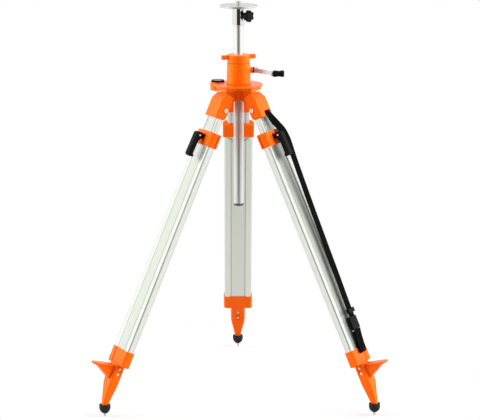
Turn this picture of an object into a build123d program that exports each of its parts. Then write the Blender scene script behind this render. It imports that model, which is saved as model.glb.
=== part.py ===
from build123d import *
import os
from math import acos, cos, pi, radians, sin, tan

# Elevating tripod for surveying instruments, in millimetres.
# The origin is on the floor under the mast, +Z is up and -Y faces the viewer.
# A leg is drawn in its own frame: X outward across the leg, Y along its hinge, Z up the leg.

# Stance
SPLAY = 25.2                 # degrees that a spread leg leans out from upright
HINGE_R = 68.3               # hinge pins from the mast axis
HINGE_Z = 956.5
HINGE_INSET = 5.8           # hinge pins inward of the leg's centre line
LEG_AZIMUTH = {"left": 210.0, "right": 330.0, "rear": 90.0}
STRAP_LEG = "right"
RUN = 0.06                   # radial clearance of a shaft in its hole
GAP = 0.3                    # clearance between pieces that move past each other
OVERCUT = 10.0               # how far a cut runs past the faces it opens

# Instrument head
PLATE_D = 120.0
PLATE_T = 6.5
PLATE_TOP = 1286.0
PLATE_EDGE = 1.4
STUD_D = 15.875              # 5/8 inch instrument thread
STUD_UP = 13.0
STUD_SHANK_D = 17.0
STUD_SHANK = 18.0
SLEEVE_D = 41.0
SLEEVE_BOTTOM = 1222.0
SLEEVE_EDGE = 1.2
STUD_CHAMFER = 1.5
KNOB_Z = 1253.0
KNOB_D = 37.0
KNOB_LOBES = 6
KNOB_SCALLOP = (21.5, 7.0)    # centre from the knob's axis, and radius
KNOB_EDGE = 2.0
KNOB_NECK_D = 18.0
KNOB_X = (21.5, 35.0, 49.5)  # neck start, star start and star end, from the mast axis
KNOB_SCREW_D = 8.0
KNOB_SCREW_X = (16.6, 40.0)
KNOB_TURN = -40.0            # degrees from +X towards the viewer

# Mast and its rack
MAST_D = 32.0
MAST_BORE_D = 26.0
MAST_BOTTOM = 634.0
MAST_TOP = 1263.0
PLUG_CAP = 8.0
PLUG_SPIGOT = 18.0
PLUG_EDGE = 2.0
MODULE = 1.25
PINION_TEETH = 12
PRESSURE_ANGLE = radians(20)
BACKLASH = 0.2               # taken off each tooth at the pitch line
RACK_TIP_Y = 15.3
RACK_BACK_Y = 9.5
RACK_W = 8.0
RACK_ADDENDUM = 0.85
RACK_DEDENDUM = 1.3
PINION_ADDENDUM = 0.95
PINION_DEDENDUM = 1.15
PINION_W = 7.0
FLANK_STEPS = 5              # straight stretches of a tooth's flank
RACK_TEETH_UP = 27           # above and below the tooth that faces the pinion
RACK_TEETH_DOWN = 65

# Gear housing, column clamp and crank
HOUSING_BOTTOM = 1033.0
HOUSING_TOP = 1101.0
HOUSING_R = (39.0, 37.0)     # at the bottom and at the top
HOUSING_EDGE = 2.0
NECK_R = 24.0
NECK_TOP = 1120.0
CLEAR_BORE_R = 17.0
COLLET_R = 20.0
COLLET_Z = (1092.0, 1119.5)
COLLET_SLIT = 2.0
SPIGOT_R = 24.0
SPIGOT_DEPTH = 9.0
SHAFT_Z = 1074.0
SHAFT_D = 8.0
SHAFT_X = (-24.0, 63.0)
BOSS_D = 20.0
BOSS_X = (18.0, 46.0)
BOSS_EDGE = 1.5
POCKET_W = 10.0
POCKET_CLEAR = 1.0           # round the pinion's tips
RING_D = 73.0
RING_TOP = 1128.0
RING_ROOF = 7.6
RING_GAP = 1.2               # open seam between the ring and the housing
RING_EDGE = 3.0
WING_SPAN = 116.0
WING_T = 15.0
WING_BOTTOM = 1113.0
WING_STEP = 1.0              # wings stop this far under the ring's top
WING_EDGE = 2.5
WING_TURN = 18.0             # degrees, left wing towards the viewer
CRANK_R = 80.0
CRANK_EYE_D = 19.0
CRANK_EYE_X = (50.6, 62.0)
CRANK_ARM_W = 13.0
CRANK_ARM_T = 5.0
CRANK_BEND = 6.0             # straight part of the arm beside the eye and the spindle
CRANK_MITRE = (2.0, 1.0)     # inner bends past the outer ones, at the eye and at the spindle
CRANK_GRIP_X = (106.5, 144.0)
CRANK_GRIP_D = 21.0
CRANK_SPINDLE_D = 7.0
CRANK_GRIP_END = 4.0         # closed end of the grip
GRIP_PROFILE = [(0.0, 0.36), (0.3, 0.5), (0.55, 0.43), (0.9, 0.5), (1.0, 0.4)]   # along, radius

# Hub, level and hinge pins
FLANGE_R = 78.0
FLANGE_Z = (1027.0, 1033.0)
HUB_BODY_R = 27.0
HUB_BODY_BOTTOM = 998.0
HUB_BOSS_R = 23.5
HUB_BOSS_BOTTOM = 982.0
HUB_EDGE_R = 2.0
BUSH_R = 19.0
BUSH_TOP = 1013.0
TONGUE_W = 30.0
TONGUE_EYE_R = 12.4
TONGUE_LAP = 1.0             # tongues run this far into what carries them
ROOT_R = 65.0                # thick roots of the tongues under the flange
ROOT_W = 60.0
ROOT_BOTTOM = 1015.0
LEVEL_XY = (-66.5, 38.0)
LEVEL_BOSS_R = 25.0
LEVEL_BOSS_Z = (1007.0, 1034.0)
LEVEL_CUP_R = 17.0
LEVEL_CUP_DEPTH = 9.0
LEVEL_FLOOR = 3.0
LEVEL_RIM_R = 21.5
LEVEL_EDGE = 1.5
LEVEL_RIM_TOP = 1039.5
LEVEL_GLASS_R = 14.0
LEVEL_DOME = 1.4
LEVEL_DOME_DROP = 1.0        # dome's edge under the rim
PIN_D = 10.0
PIN_HEAD_D = 13.0
PIN_HEAD_T = 2.6
PIN_DIMPLE = (5.0, 4.0)      # diameter and depth of the hole in each head

# Leg yoke and profiles, heights along the leg from hinge level
YOKE_W = 72.0
YOKE_OUT = 20.0
YOKE_IN = -18.5
YOKE_BOTTOM = -32.0
YOKE_SHOULDER = 28.0         # height of the outer face
YOKE_CROWN = (6.0, 54.0)     # top of the slope above it
YOKE_TOP_IN = 46.0
YOKE_ROUNDS = (6.0, 10.0, 12.0)   # crown, shoulder and inner bottom corner
YOKE_SLOT_CLEAR = 1.0        # under the tongue's eye
YOKE_EDGE = 5.0
YOKE_SPIGOT = 30.0
INNER_W = 72.0
INNER_T = 20.0
INNER_WALL = 2.2
INNER_CORNER = 4.0
INNER_END = -800.0
INNER_GROOVE = (25.0, 1.6, 0.8)   # offset from the middle, width, depth
BLOCK_W = 89.6
BLOCK_T = 20.3
BLOCK_H = 12.0
BLOCK_PLUG = 25.0
BLOCK_CORNER = 4.0
SCREW_D = 4.0
SCREW_LENGTH = 7.0           # under the head
SCREW_HEAD_D = 7.0
SCREW_HEAD_T = 1.8
SCREW_Z = -47.0
SCREW_Y = 22.0
OUTER_W = 94.0
OUTER_T = 28.0
OUTER_CORNER = 8.0
OUTER_WALL = 1.8
RAIL_W = 23.0
WEB_T = 24.6
OUTER_TOP = -95.0
OUTER_END = -853.0
ARCH_R = 44.0                # arched cut in the inner wall under the collar
ARCH_DEPTH = 22.0

# Leg clamp
COLLAR_W = 103.0
COLLAR_T = 36.0
COLLAR_Z = (-127.0, -80.0)
COLLAR_CORNERS = (16.0, 6.0)  # outer and inner corner radii
COLLAR_CLEAR = 0.4
COLLAR_EDGES = (2.5, 1.5)    # roundings of the top and bottom rims
COLLAR_GROOVE = (-10.0, -5.5, 3.6)   # faces and depth of the groove down each flank
LEVER_PIN = (35.5, -102.0)
LEVER_PIN_D = 6.0
LEVER_PIN_PROUD = 0.6
LUG_W = 13.0
LUG_R = 8.0
LUG_ROOT = 20.0              # lug's height where it leaves the collar
LUG_LAP = 2.0                # lug's depth in the collar's wall
LEVER_W = 24.0
LEVER_FORK = 14.0
LEVER_FORK_CLEAR = 2.4       # round the lug
LEVER_FORK_OPEN = 4.0        # the fork's web ends this far over the pin
LEVER_NECK = 22.0            # from the pin down to the straight handle
LEVER_EDGE = 3.0
CAM_R = 11.0
CAM_OFFSET = 1.2
PAD_X = (10.3, 14.3)
PAD_W = 28.0
PAD_CLEAR = 0.1
PAD_Z = (-113.0, -91.0)
PUSHER_END = 23.0            # two pushers reach out from the pad to the cams
PUSHER_W = 5.0
PUSHER_H = 14.0
CAM_WINDOW_Z = (-114.0, -90.0)
CAM_WINDOW_CLEAR = 1.0       # across both sides of a cheek
NOTCH_CLEAR = 1.0            # round the pad in the outer profile
LEVER_TOP = (40.5, -101.0)   # ends of the handle's middle line
LEVER_END = (42.5, -168.0)
LEVER_T = 16.0
LEVER_HOOK = (33.5, -171.0, 4.0)  # centre and radius of the hooked tip

# Leg shoe, heights along the leg from hinge level
SOCKET_W = 100.0
SOCKET_T = 32.0
SOCKET_Z = (-878.0, -826.0)
SOCKET_CORNERS = 9.0
SOCKET_EDGE = 4.0
SOCKET_PANEL = (46.0, 2.0)   # width and depth of the sunk middle of the outer face
SHOE_X = (-15.0, 18.0)       # inner and outer faces of the body
SHOE_W = 50.0
SHOE_CORNER = 7.0
SHOE_STRAIGHT = -932.0       # the body tapers and bends upright under this
SHOE_TAPER = [(-946.0, -15.5, 17.5, 46.0), (-1020.0, -17.0, 1.0, 16.0)]   # height, faces and width
RECESS = (11.0, 29.0, 4.0)   # width, height and depth on the flanks
RECESS_CORNER = 2.0
RECESS_Z = -898.0
BACK_RECESS_H = 43.0         # height and middle of the one on the inner face
BACK_RECESS_Z = -913.5
PEDAL_W = 34.0
PEDAL_T = 6.0
PEDAL_ROOT = (10.0, -880.0)
PEDAL_TIP = (90.0, -893.0)
PEDAL_CORNER = 9.0
GUSSET_W = 26.0
GUSSET_FOOT = (17.0, -930.0)

# Upright foot, heights from the floor
FOOT_REACH = 497.5           # spread feet from the mast axis
SPIKE_D = 11.0
SPIKE_TOP = 57.0
SPIKE_TAPER = 11.7
SPIKE_TIP_D = 6.0
FOOT_D = 36.0
FOOT_Z = (40.5, 33.0, 18.5, 11.7)   # top, start of the dome, its middle and end
FOOT_DOME_R = (14.5, 7.5)    # radii at the dome's middle and end
FOOT_EDGE = 2.0

# Carry strap: distance out, sideways offset and height of its centre, down the leg
STRAP_ROUTE = [
    (21.4, 9.0, -14.0),
    (21.4, 9.5, -27.0),
    (27.5, 19.0, -68.0),
    (33.8, 30.3, -90.0),
    (38.3, 30.8, -135.0),
    (35.9, 30.3, -195.0),
    (30.3, 29.3, -331.0),
    (26.9, 27.0, -467.0),
    (25.6, 22.0, -604.0),
    (24.7, 19.0, -672.0),
    (24.0, 18.0, -727.0),
]
STRAP_W = 34.0
STRAP_T = 2.4
SLIDER_Z = -708.0
SLIDER_SIZE = (11.0, 40.0, 14.0)
SLIDER_XY = (26.8, 18.4)
SLIDER_CORNER = 3.0
SLIDER_SLOT = (3.3, 34.8)
SLIDER_SLOT_X = 24.3
BUCKLE_Z = (-769.0, -727.3)
BUCKLE_X = (15.5, 27.0)
BUCKLE_Y = 17.0
BUCKLE_W = 46.0
BUCKLE_CORNER = 3.0
BUCKLE_EDGE = 2.0
TAB_W = 42.0
TAB_T = 6.0
TAB_ROUTE = [(21.0, 15.5, -769.3), (20.5, 14.0, -795.0), (20.0, 12.0, -818.0), (20.0, 9.5, -844.0)]

SIN = sin(radians(SPLAY))
COS = cos(radians(SPLAY))
LEG_R = HINGE_R + HINGE_INSET * COS
LEG_Z = HINGE_Z + HINGE_INSET * SIN
PITCH = pi * MODULE
PITCH_R = MODULE * PINION_TEETH / 2
RACK_PITCH_Y = RACK_TIP_Y - RACK_ADDENDUM
SHAFT_Y = RACK_PITCH_Y + PITCH_R
PLATE_BOTTOM = PLATE_TOP - PLATE_T

os.makedirs("parts", exist_ok=True)


def save(piece, name):
    """Name one finished piece and write it to its own file."""
    piece.label = name
    export_step(piece, f"parts/{name}.step")


def leg_place(azimuth):
    """Where a leg's own frame stands: leaned out by the splay, then turned to its azimuth."""
    lean = Location((LEG_R, 0, LEG_Z), (0, -SPLAY, 0))
    return Location((0, 0, 0), (0, 0, azimuth)) * lean


def foot_place(azimuth):
    """Where a leg's foot stands, upright on the floor."""
    return Location((0, 0, 0), (0, 0, azimuth)) * Location((FOOT_REACH, 0, 0))


def lateral(x, y, z):
    """A plane that faces +X, for turned pieces on the knob and crank axes."""
    return Plane(origin=(x, y, z), x_dir=(0, 1, 0), z_dir=(1, 0, 0))


# Head plate: the round table that the instrument stands on
with BuildPart() as head_plate:
    with BuildSketch(Plane.XY.offset(PLATE_BOTTOM)):
        Circle(PLATE_D / 2)
        Circle(STUD_SHANK_D / 2, mode=Mode.SUBTRACT)
    extrude(amount=PLATE_T)
    fillet(head_plate.edges().filter_by(GeomType.CIRCLE).sort_by(SortBy.RADIUS)[-2:], PLATE_EDGE)
save(head_plate.part, "head_plate")

# Instrument stud: the threaded post, with a plain shank down through the plate
with BuildPart() as instrument_stud:
    with BuildSketch(Plane.XY.offset(PLATE_TOP)):
        Circle(STUD_D / 2)
    extrude(amount=STUD_UP)
    chamfer(instrument_stud.faces().sort_by(Axis.Z)[-1].edges(), STUD_CHAMFER)
    with BuildSketch(Plane.XY.offset(PLATE_TOP - STUD_SHANK)):
        Circle(STUD_SHANK_D / 2)
    extrude(amount=STUD_SHANK)
save(instrument_stud.part, "instrument_stud")

# Head sleeve: the polished cap that turns on the mast's top end
with BuildPart() as head_sleeve:
    with BuildSketch(Plane.XY.offset(SLEEVE_BOTTOM)):
        Circle(SLEEVE_D / 2)
    extrude(amount=PLATE_BOTTOM - SLEEVE_BOTTOM)
    fillet(head_sleeve.faces().sort_by(Axis.Z)[0].edges(), SLEEVE_EDGE)
    with BuildSketch(Plane.XY.offset(SLEEVE_BOTTOM)):
        Circle(MAST_D / 2 + RUN)
    extrude(amount=MAST_TOP + GAP - SLEEVE_BOTTOM, mode=Mode.SUBTRACT)
    with BuildSketch(Plane.XY.offset(PLATE_TOP - STUD_SHANK)):
        Circle(STUD_SHANK_D / 2)
    extrude(amount=STUD_SHANK, mode=Mode.SUBTRACT)
    with BuildSketch(lateral(0, 0, KNOB_Z)):
        Circle(KNOB_SCREW_D / 2 + RUN)
    extrude(amount=SLEEVE_D, mode=Mode.SUBTRACT)
save(head_sleeve.part.rotate(Axis.Z, KNOB_TURN), "head_sleeve")

# Head knob: a star grip with a neck, moulded round its screw
with BuildPart() as head_knob:
    with BuildSketch(lateral(KNOB_X[1], 0, KNOB_Z)):
        Circle(KNOB_D / 2)
        with PolarLocations(KNOB_SCALLOP[0], KNOB_LOBES):
            Circle(KNOB_SCALLOP[1], mode=Mode.SUBTRACT)
    extrude(amount=KNOB_X[2] - KNOB_X[1])
    fillet(head_knob.faces().sort_by(Axis.X)[-1].edges(), KNOB_EDGE)
    with BuildSketch(lateral(KNOB_X[0], 0, KNOB_Z)):
        Circle(KNOB_NECK_D / 2)
    extrude(amount=KNOB_X[1] - KNOB_X[0])
    with BuildSketch(lateral(KNOB_X[0], 0, KNOB_Z)):
        Circle(KNOB_SCREW_D / 2)
    extrude(amount=KNOB_SCREW_X[1] - KNOB_X[0], mode=Mode.SUBTRACT)
save(head_knob.part.rotate(Axis.Z, KNOB_TURN), "head_knob")

# Head knob screw: presses on the mast to lock the head's turn
with BuildPart() as head_knob_screw:
    with BuildSketch(lateral(KNOB_SCREW_X[0], 0, KNOB_Z)):
        Circle(KNOB_SCREW_D / 2)
    extrude(amount=KNOB_SCREW_X[1] - KNOB_SCREW_X[0])
save(head_knob_screw.part.rotate(Axis.Z, KNOB_TURN), "head_knob_screw")

# Mast rack: a toothed bar let into the back of the mast
rack_top = SHAFT_Z + (RACK_TEETH_UP + 0.5) * PITCH
rack_bottom = SHAFT_Z - (RACK_TEETH_DOWN + 0.5) * PITCH
tooth_half = PITCH / 4 - BACKLASH / 2
tip_half = tooth_half - RACK_ADDENDUM * tan(PRESSURE_ANGLE)
root_half = tooth_half + RACK_DEDENDUM * tan(PRESSURE_ANGLE)
root_y = RACK_PITCH_Y - RACK_DEDENDUM
rack_outline = [(RACK_BACK_Y, rack_top), (RACK_BACK_Y, rack_bottom), (root_y, rack_bottom)]
for tooth in range(-RACK_TEETH_DOWN, RACK_TEETH_UP + 1):
    centre = SHAFT_Z + tooth * PITCH
    rack_outline += [(root_y, centre - root_half), (RACK_TIP_Y, centre - tip_half)]
    rack_outline += [(RACK_TIP_Y, centre + tip_half), (root_y, centre + root_half)]
rack_outline.append((root_y, rack_top))
with BuildPart() as mast_rack:
    with BuildSketch(Plane.YZ):
        with BuildLine():
            Polyline(rack_outline, close=True)
        make_face()
    extrude(amount=RACK_W / 2, both=True)
save(mast_rack.part, "mast_rack")

# Mast tube: the polished column, slotted down its back for the rack
with BuildPart() as mast_tube:
    with BuildSketch(Plane.XY.offset(MAST_BOTTOM + PLUG_CAP)):
        Circle(MAST_D / 2)
        Circle(MAST_BORE_D / 2, mode=Mode.SUBTRACT)
    extrude(amount=MAST_TOP - MAST_BOTTOM - PLUG_CAP)
    with BuildSketch(Plane.XY.offset(rack_bottom)):
        with Locations((0, MAST_D / 2)):
            Rectangle(RACK_W, MAST_D / 2)
    extrude(amount=rack_top - rack_bottom, mode=Mode.SUBTRACT)
save(mast_tube.part, "mast_tube")

# Mast end plug: closes the bottom of the tube
with BuildPart() as mast_end_plug:
    with BuildSketch(Plane.XY.offset(MAST_BOTTOM)):
        Circle(MAST_D / 2)
    extrude(amount=PLUG_CAP)
    fillet(mast_end_plug.faces().sort_by(Axis.Z)[0].edges(), PLUG_EDGE)
    with BuildSketch(Plane.XY.offset(MAST_BOTTOM + PLUG_CAP)):
        Circle(MAST_BORE_D / 2)
    extrude(amount=PLUG_SPIGOT)
save(mast_end_plug.part, "mast_end_plug")

# Gear housing: a tapered drum over the hub, with the crank's boss on its right
with BuildPart() as gear_housing:
    with BuildSketch(Plane.XZ):
        with BuildLine():
            Polyline(
                (0, HOUSING_BOTTOM - SPIGOT_DEPTH),
                (SPIGOT_R, HOUSING_BOTTOM - SPIGOT_DEPTH),
                (SPIGOT_R, HOUSING_BOTTOM),
                (HOUSING_R[0], HOUSING_BOTTOM),
                (HOUSING_R[1], HOUSING_TOP),
                (NECK_R, HOUSING_TOP),
                (NECK_R, NECK_TOP),
                (0, NECK_TOP),
                close=True,
            )
        make_face()
    revolve(axis=Axis.Z)
    rims = gear_housing.edges().filter_by(GeomType.CIRCLE).sort_by(SortBy.RADIUS)[-2:]
    fillet(rims, HOUSING_EDGE)
    with BuildSketch(lateral(BOSS_X[0], SHAFT_Y, SHAFT_Z)):
        Circle(BOSS_D / 2)
    extrude(amount=BOSS_X[1] - BOSS_X[0])
    fillet(gear_housing.faces().sort_by(Axis.X)[-1].edges(), BOSS_EDGE)
    with BuildSketch(Plane.XY.offset(HOUSING_BOTTOM - SPIGOT_DEPTH)):
        Circle(CLEAR_BORE_R)
    extrude(amount=NECK_TOP - HOUSING_BOTTOM + SPIGOT_DEPTH, mode=Mode.SUBTRACT)
    with BuildSketch(Plane.XY.offset(COLLET_Z[0])):
        Circle(COLLET_R)
    extrude(amount=NECK_TOP - COLLET_Z[0], mode=Mode.SUBTRACT)
    pocket_back = SHAFT_Y + PITCH_R + PINION_ADDENDUM + POCKET_CLEAR
    with BuildSketch(Plane.XY.offset(HOUSING_BOTTOM - SPIGOT_DEPTH)):
        with Locations((0, pocket_back / 2)):
            Rectangle(POCKET_W, pocket_back)
    pocket_top = SHAFT_Z + PITCH_R + PINION_ADDENDUM + POCKET_CLEAR
    extrude(amount=pocket_top - HOUSING_BOTTOM + SPIGOT_DEPTH, mode=Mode.SUBTRACT)
    with BuildSketch(lateral(SHAFT_X[0] - GAP, SHAFT_Y, SHAFT_Z)):
        Circle(SHAFT_D / 2 + RUN)
    extrude(amount=BOSS_X[1] - SHAFT_X[0] + 2 * GAP, mode=Mode.SUBTRACT)
save(gear_housing.part, "gear_housing")

# Clamp collet: a split nylon ring that the wing ring squeezes on the mast
with BuildPart() as clamp_collet:
    with BuildSketch(Plane.XY.offset(COLLET_Z[0])):
        Circle(COLLET_R)
        Circle(MAST_D / 2 + RUN, mode=Mode.SUBTRACT)
        with Locations((0, -COLLET_R)):
            Rectangle(COLLET_SLIT, COLLET_R, mode=Mode.SUBTRACT)
    extrude(amount=COLLET_Z[1] - COLLET_Z[0])
save(clamp_collet.part, "clamp_collet")

# Column clamp ring: a wing nut on the housing's neck
with BuildPart() as column_clamp_ring:
    with BuildSketch(Plane.XY.offset(WING_BOTTOM)):
        with Locations(Location((0, 0, 0), (0, 0, WING_TURN))):
            SlotOverall(WING_SPAN, WING_T)
    extrude(amount=RING_TOP - WING_BOTTOM - WING_STEP)
    fillet(column_clamp_ring.faces().filter_by(Axis.Z).edges(), WING_EDGE)
    ring_h = RING_TOP - HOUSING_TOP - RING_GAP
    with BuildSketch(Plane.XZ):
        with Locations((0, HOUSING_TOP + RING_GAP)):
            Rectangle(RING_D / 2, ring_h, align=Align.MIN)
        fillet(vertices().group_by(Axis.X)[-1].sort_by(Axis.Y)[-1], RING_EDGE)
    revolve(axis=Axis.Z)
    with BuildSketch(Plane.XY.offset(HOUSING_TOP)):
        Circle(NECK_R + GAP)
    extrude(amount=RING_TOP - RING_ROOF - HOUSING_TOP, mode=Mode.SUBTRACT)
    with BuildSketch(Plane.XY.offset(HOUSING_TOP)):
        Circle(CLEAR_BORE_R)
    extrude(amount=RING_TOP - HOUSING_TOP, mode=Mode.SUBTRACT)
save(column_clamp_ring.part, "column_clamp_ring")

# Drive pinion: involute teeth, with a gap facing the rack at rest
base_r = PITCH_R * cos(PRESSURE_ANGLE)
tip_r = PITCH_R + PINION_ADDENDUM
root_r = PITCH_R - PINION_DEDENDUM
half_at_pitch = (PITCH / 2 - BACKLASH) / 2 / PITCH_R


def involute(angle):
    """Involute function of a pressure angle in radians."""
    return tan(angle) - angle


def half_angle(radius):
    """Half the angle that a pinion tooth fills at one radius."""
    pressure = acos(min(1.0, base_r / radius))
    return half_at_pitch + involute(PRESSURE_ANGLE) - involute(pressure)


flank_radii = [root_r] + [base_r + (tip_r - base_r) * step / FLANK_STEPS for step in range(FLANK_STEPS + 1)]
pinion_outline = []
for tooth in range(PINION_TEETH):
    middle = -pi / 2 + (tooth + 0.5) * 2 * pi / PINION_TEETH
    rising = [(radius, middle - half_angle(radius)) for radius in flank_radii]
    falling = [(radius, middle + half_angle(radius)) for radius in reversed(flank_radii)]
    pinion_outline += [(r * sin(a), r * cos(a)) for r, a in rising + falling]
with BuildPart() as drive_pinion:
    with BuildSketch(lateral(-PINION_W / 2, SHAFT_Y, SHAFT_Z)):
        with BuildLine():
            Polyline(pinion_outline, close=True)
        make_face()
        Circle(SHAFT_D / 2, mode=Mode.SUBTRACT)
    extrude(amount=PINION_W)
save(drive_pinion.part, "drive_pinion")

# Crank shaft: carries the pinion and, outside the boss, the crank arm
with BuildPart() as crank_shaft:
    with BuildSketch(lateral(SHAFT_X[0], SHAFT_Y, SHAFT_Z)):
        Circle(SHAFT_D / 2)
    extrude(amount=SHAFT_X[1] - SHAFT_X[0])
save(crank_shaft.part, "crank_shaft")

# Crank arm: an eye on the shaft, a cranked strip towards the viewer and the grip's spindle
with BuildPart() as crank_arm:
    with BuildSketch(lateral(CRANK_EYE_X[0], SHAFT_Y, SHAFT_Z)):
        Circle(CRANK_EYE_D / 2)
        Circle(SHAFT_D / 2, mode=Mode.SUBTRACT)
    extrude(amount=CRANK_EYE_X[1] - CRANK_EYE_X[0])
    strip_inner = CRANK_EYE_X[1] - CRANK_ARM_T
    strip_outer = CRANK_GRIP_X[0] - GAP
    tip_y = SHAFT_Y - CRANK_R
    arm_y = SHAFT_Y - CRANK_EYE_D / 2 + CRANK_BEND / 2
    turn_y = tip_y + CRANK_ARM_W / 2 + CRANK_BEND
    with BuildSketch(Plane.XY.offset(SHAFT_Z - CRANK_ARM_W / 2)):
        with BuildLine():
            Polyline(
                (strip_inner, arm_y),
                (CRANK_EYE_X[1], arm_y),
                (CRANK_EYE_X[1], arm_y - CRANK_BEND),
                (strip_outer, turn_y),
                (strip_outer, tip_y - CRANK_ARM_W / 2),
                (strip_outer - CRANK_ARM_T, tip_y - CRANK_ARM_W / 2),
                (strip_outer - CRANK_ARM_T, turn_y - CRANK_MITRE[1]),
                (strip_inner, arm_y - CRANK_BEND - CRANK_MITRE[0]),
                close=True,
            )
        make_face()
    extrude(amount=CRANK_ARM_W)
    with BuildSketch(lateral(strip_outer, tip_y, SHAFT_Z)):
        Circle(CRANK_SPINDLE_D / 2)
    extrude(amount=CRANK_GRIP_X[1] - strip_outer - CRANK_GRIP_END)
save(crank_arm.part, "crank_arm")

# Crank grip: a waisted handle that spins on the spindle
grip_length = CRANK_GRIP_X[1] - CRANK_GRIP_X[0]
with BuildPart() as crank_grip:
    with BuildSketch(Plane(origin=(CRANK_GRIP_X[0], tip_y, SHAFT_Z), x_dir=(1, 0, 0), z_dir=(0, -1, 0))):
        with BuildLine():
            side = Spline([(grip_length * along, CRANK_GRIP_D * share) for along, share in GRIP_PROFILE])
            Polyline(side @ 1, (grip_length, 0), (0, 0), side @ 0)
        make_face()
    revolve(axis=Axis((CRANK_GRIP_X[0], tip_y, SHAFT_Z), (1, 0, 0)))
    with BuildSketch(lateral(CRANK_GRIP_X[0], tip_y, SHAFT_Z)):
        Circle(CRANK_SPINDLE_D / 2 + RUN)
    extrude(amount=grip_length - CRANK_GRIP_END + GAP, mode=Mode.SUBTRACT)
save(crank_grip.part, "crank_grip")

# Guide bush: keeps the mast upright at the bottom of the hub
with BuildPart() as guide_bush:
    with BuildSketch(Plane.XY.offset(HUB_BOSS_BOTTOM)):
        Circle(BUSH_R)
        Circle(MAST_D / 2 + RUN, mode=Mode.SUBTRACT)
    extrude(amount=BUSH_TOP - HUB_BOSS_BOTTOM)
save(guide_bush.part, "guide_bush")


def leg_point(x, z):
    """Radius and height, in a leg's upright plane, of a point in the leg's side view."""
    return LEG_R + x * COS - z * SIN, LEG_Z + x * SIN + z * COS


# Outer edge of a hinge tongue, straight up the leg from the eye to the root
tongue_edge = TONGUE_EYE_R - HINGE_INSET
tongue_rise = (ROOT_BOTTOM + TONGUE_LAP - LEG_Z - tongue_edge * SIN) / COS

# Hub casting: flange, body, guide boss, the level's cup and three hinge tongues on thick roots
with BuildPart() as hub_casting:
    with BuildSketch(Plane.XZ):
        with BuildLine():
            Polyline(
                (0, HUB_BOSS_BOTTOM),
                (HUB_BOSS_R, HUB_BOSS_BOTTOM),
                (HUB_BOSS_R, HUB_BODY_BOTTOM),
                (HUB_BODY_R, HUB_BODY_BOTTOM),
                (HUB_BODY_R, FLANGE_Z[0]),
                (FLANGE_R, FLANGE_Z[0]),
                (FLANGE_R, FLANGE_Z[1]),
                (0, FLANGE_Z[1]),
                close=True,
            )
        make_face()
        fillet(vertices().group_by(Axis.X)[-1], HUB_EDGE_R)
    revolve(axis=Axis.Z)
    boss_h = LEVEL_BOSS_Z[1] - LEVEL_BOSS_Z[0]
    with BuildSketch(Plane.XZ.offset(-LEVEL_XY[1])):
        with Locations((LEVEL_XY[0], LEVEL_BOSS_Z[0])):
            Rectangle(LEVEL_BOSS_R, boss_h, align=Align.MIN)
        fillet(vertices().group_by(Axis.X)[-1], HUB_EDGE_R)
    revolve(axis=Axis((*LEVEL_XY, 0), (0, 0, 1)))
    with BuildSketch(Plane.XY.offset(LEVEL_BOSS_Z[1] - LEVEL_CUP_DEPTH)):
        with Locations(LEVEL_XY):
            Circle(LEVEL_CUP_R)
    extrude(amount=LEVEL_CUP_DEPTH, mode=Mode.SUBTRACT)
    with BuildSketch(Plane.XY.offset(ROOT_BOTTOM)):
        for azimuth in LEG_AZIMUTH.values():
            with Locations(Location((0, 0, 0), (0, 0, azimuth)) * Location((BUSH_R, 0, 0))):
                Rectangle(ROOT_R - BUSH_R, ROOT_W, align=(Align.MIN, Align.CENTER))
    extrude(amount=FLANGE_Z[0] - ROOT_BOTTOM + TONGUE_LAP)
    for azimuth in LEG_AZIMUTH.values():
        upright = Plane.XZ.rotated((0, 0, azimuth))
        with BuildSketch(upright):
            with Locations((HINGE_R, HINGE_Z)):
                Circle(TONGUE_EYE_R)
            Polygon(
                leg_point(tongue_edge, 0),
                leg_point(tongue_edge, tongue_rise),
                (BUSH_R + TONGUE_LAP, ROOT_BOTTOM + TONGUE_LAP),
                (BUSH_R + TONGUE_LAP, HUB_BOSS_BOTTOM + TONGUE_LAP),
                align=None,
            )
            make_hull()
        extrude(amount=TONGUE_W / 2, both=True)
        with BuildSketch(upright):
            with Locations((HINGE_R, HINGE_Z)):
                Circle(PIN_D / 2)
        extrude(amount=TONGUE_W, both=True, mode=Mode.SUBTRACT)
    bore_bottom = HINGE_Z - TONGUE_EYE_R - OVERCUT
    with BuildSketch(Plane.XY.offset(bore_bottom)):
        Circle(CLEAR_BORE_R)
    extrude(amount=FLANGE_Z[1] - bore_bottom, mode=Mode.SUBTRACT)
    with BuildSketch(Plane.XY.offset(bore_bottom)):
        Circle(BUSH_R)
    extrude(amount=BUSH_TOP - bore_bottom, mode=Mode.SUBTRACT)
    with BuildSketch(Plane.XY.offset(HOUSING_BOTTOM - SPIGOT_DEPTH)):
        Circle(SPIGOT_R)
    extrude(amount=SPIGOT_DEPTH, mode=Mode.SUBTRACT)
save(hub_casting.part, "hub_casting")

# Level body: the black rim and cup that hold the bull's-eye level
with BuildPart() as level_body:
    with BuildSketch(Plane.XY.offset(LEVEL_BOSS_Z[1] - LEVEL_CUP_DEPTH)):
        with Locations(LEVEL_XY):
            Circle(LEVEL_CUP_R)
    extrude(amount=LEVEL_CUP_DEPTH)
    with BuildSketch(Plane.XY.offset(LEVEL_BOSS_Z[1])):
        with Locations(LEVEL_XY):
            Circle(LEVEL_RIM_R)
    extrude(amount=LEVEL_RIM_TOP - LEVEL_BOSS_Z[1])
    fillet(level_body.faces().sort_by(Axis.Z)[-1].edges(), LEVEL_EDGE)
    with BuildSketch(Plane.XY.offset(LEVEL_BOSS_Z[1] - LEVEL_CUP_DEPTH + LEVEL_FLOOR)):
        with Locations(LEVEL_XY):
            Circle(LEVEL_GLASS_R)
    extrude(amount=LEVEL_RIM_TOP - LEVEL_BOSS_Z[1] + LEVEL_CUP_DEPTH, mode=Mode.SUBTRACT)
save(level_body.part, "level_body")

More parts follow.
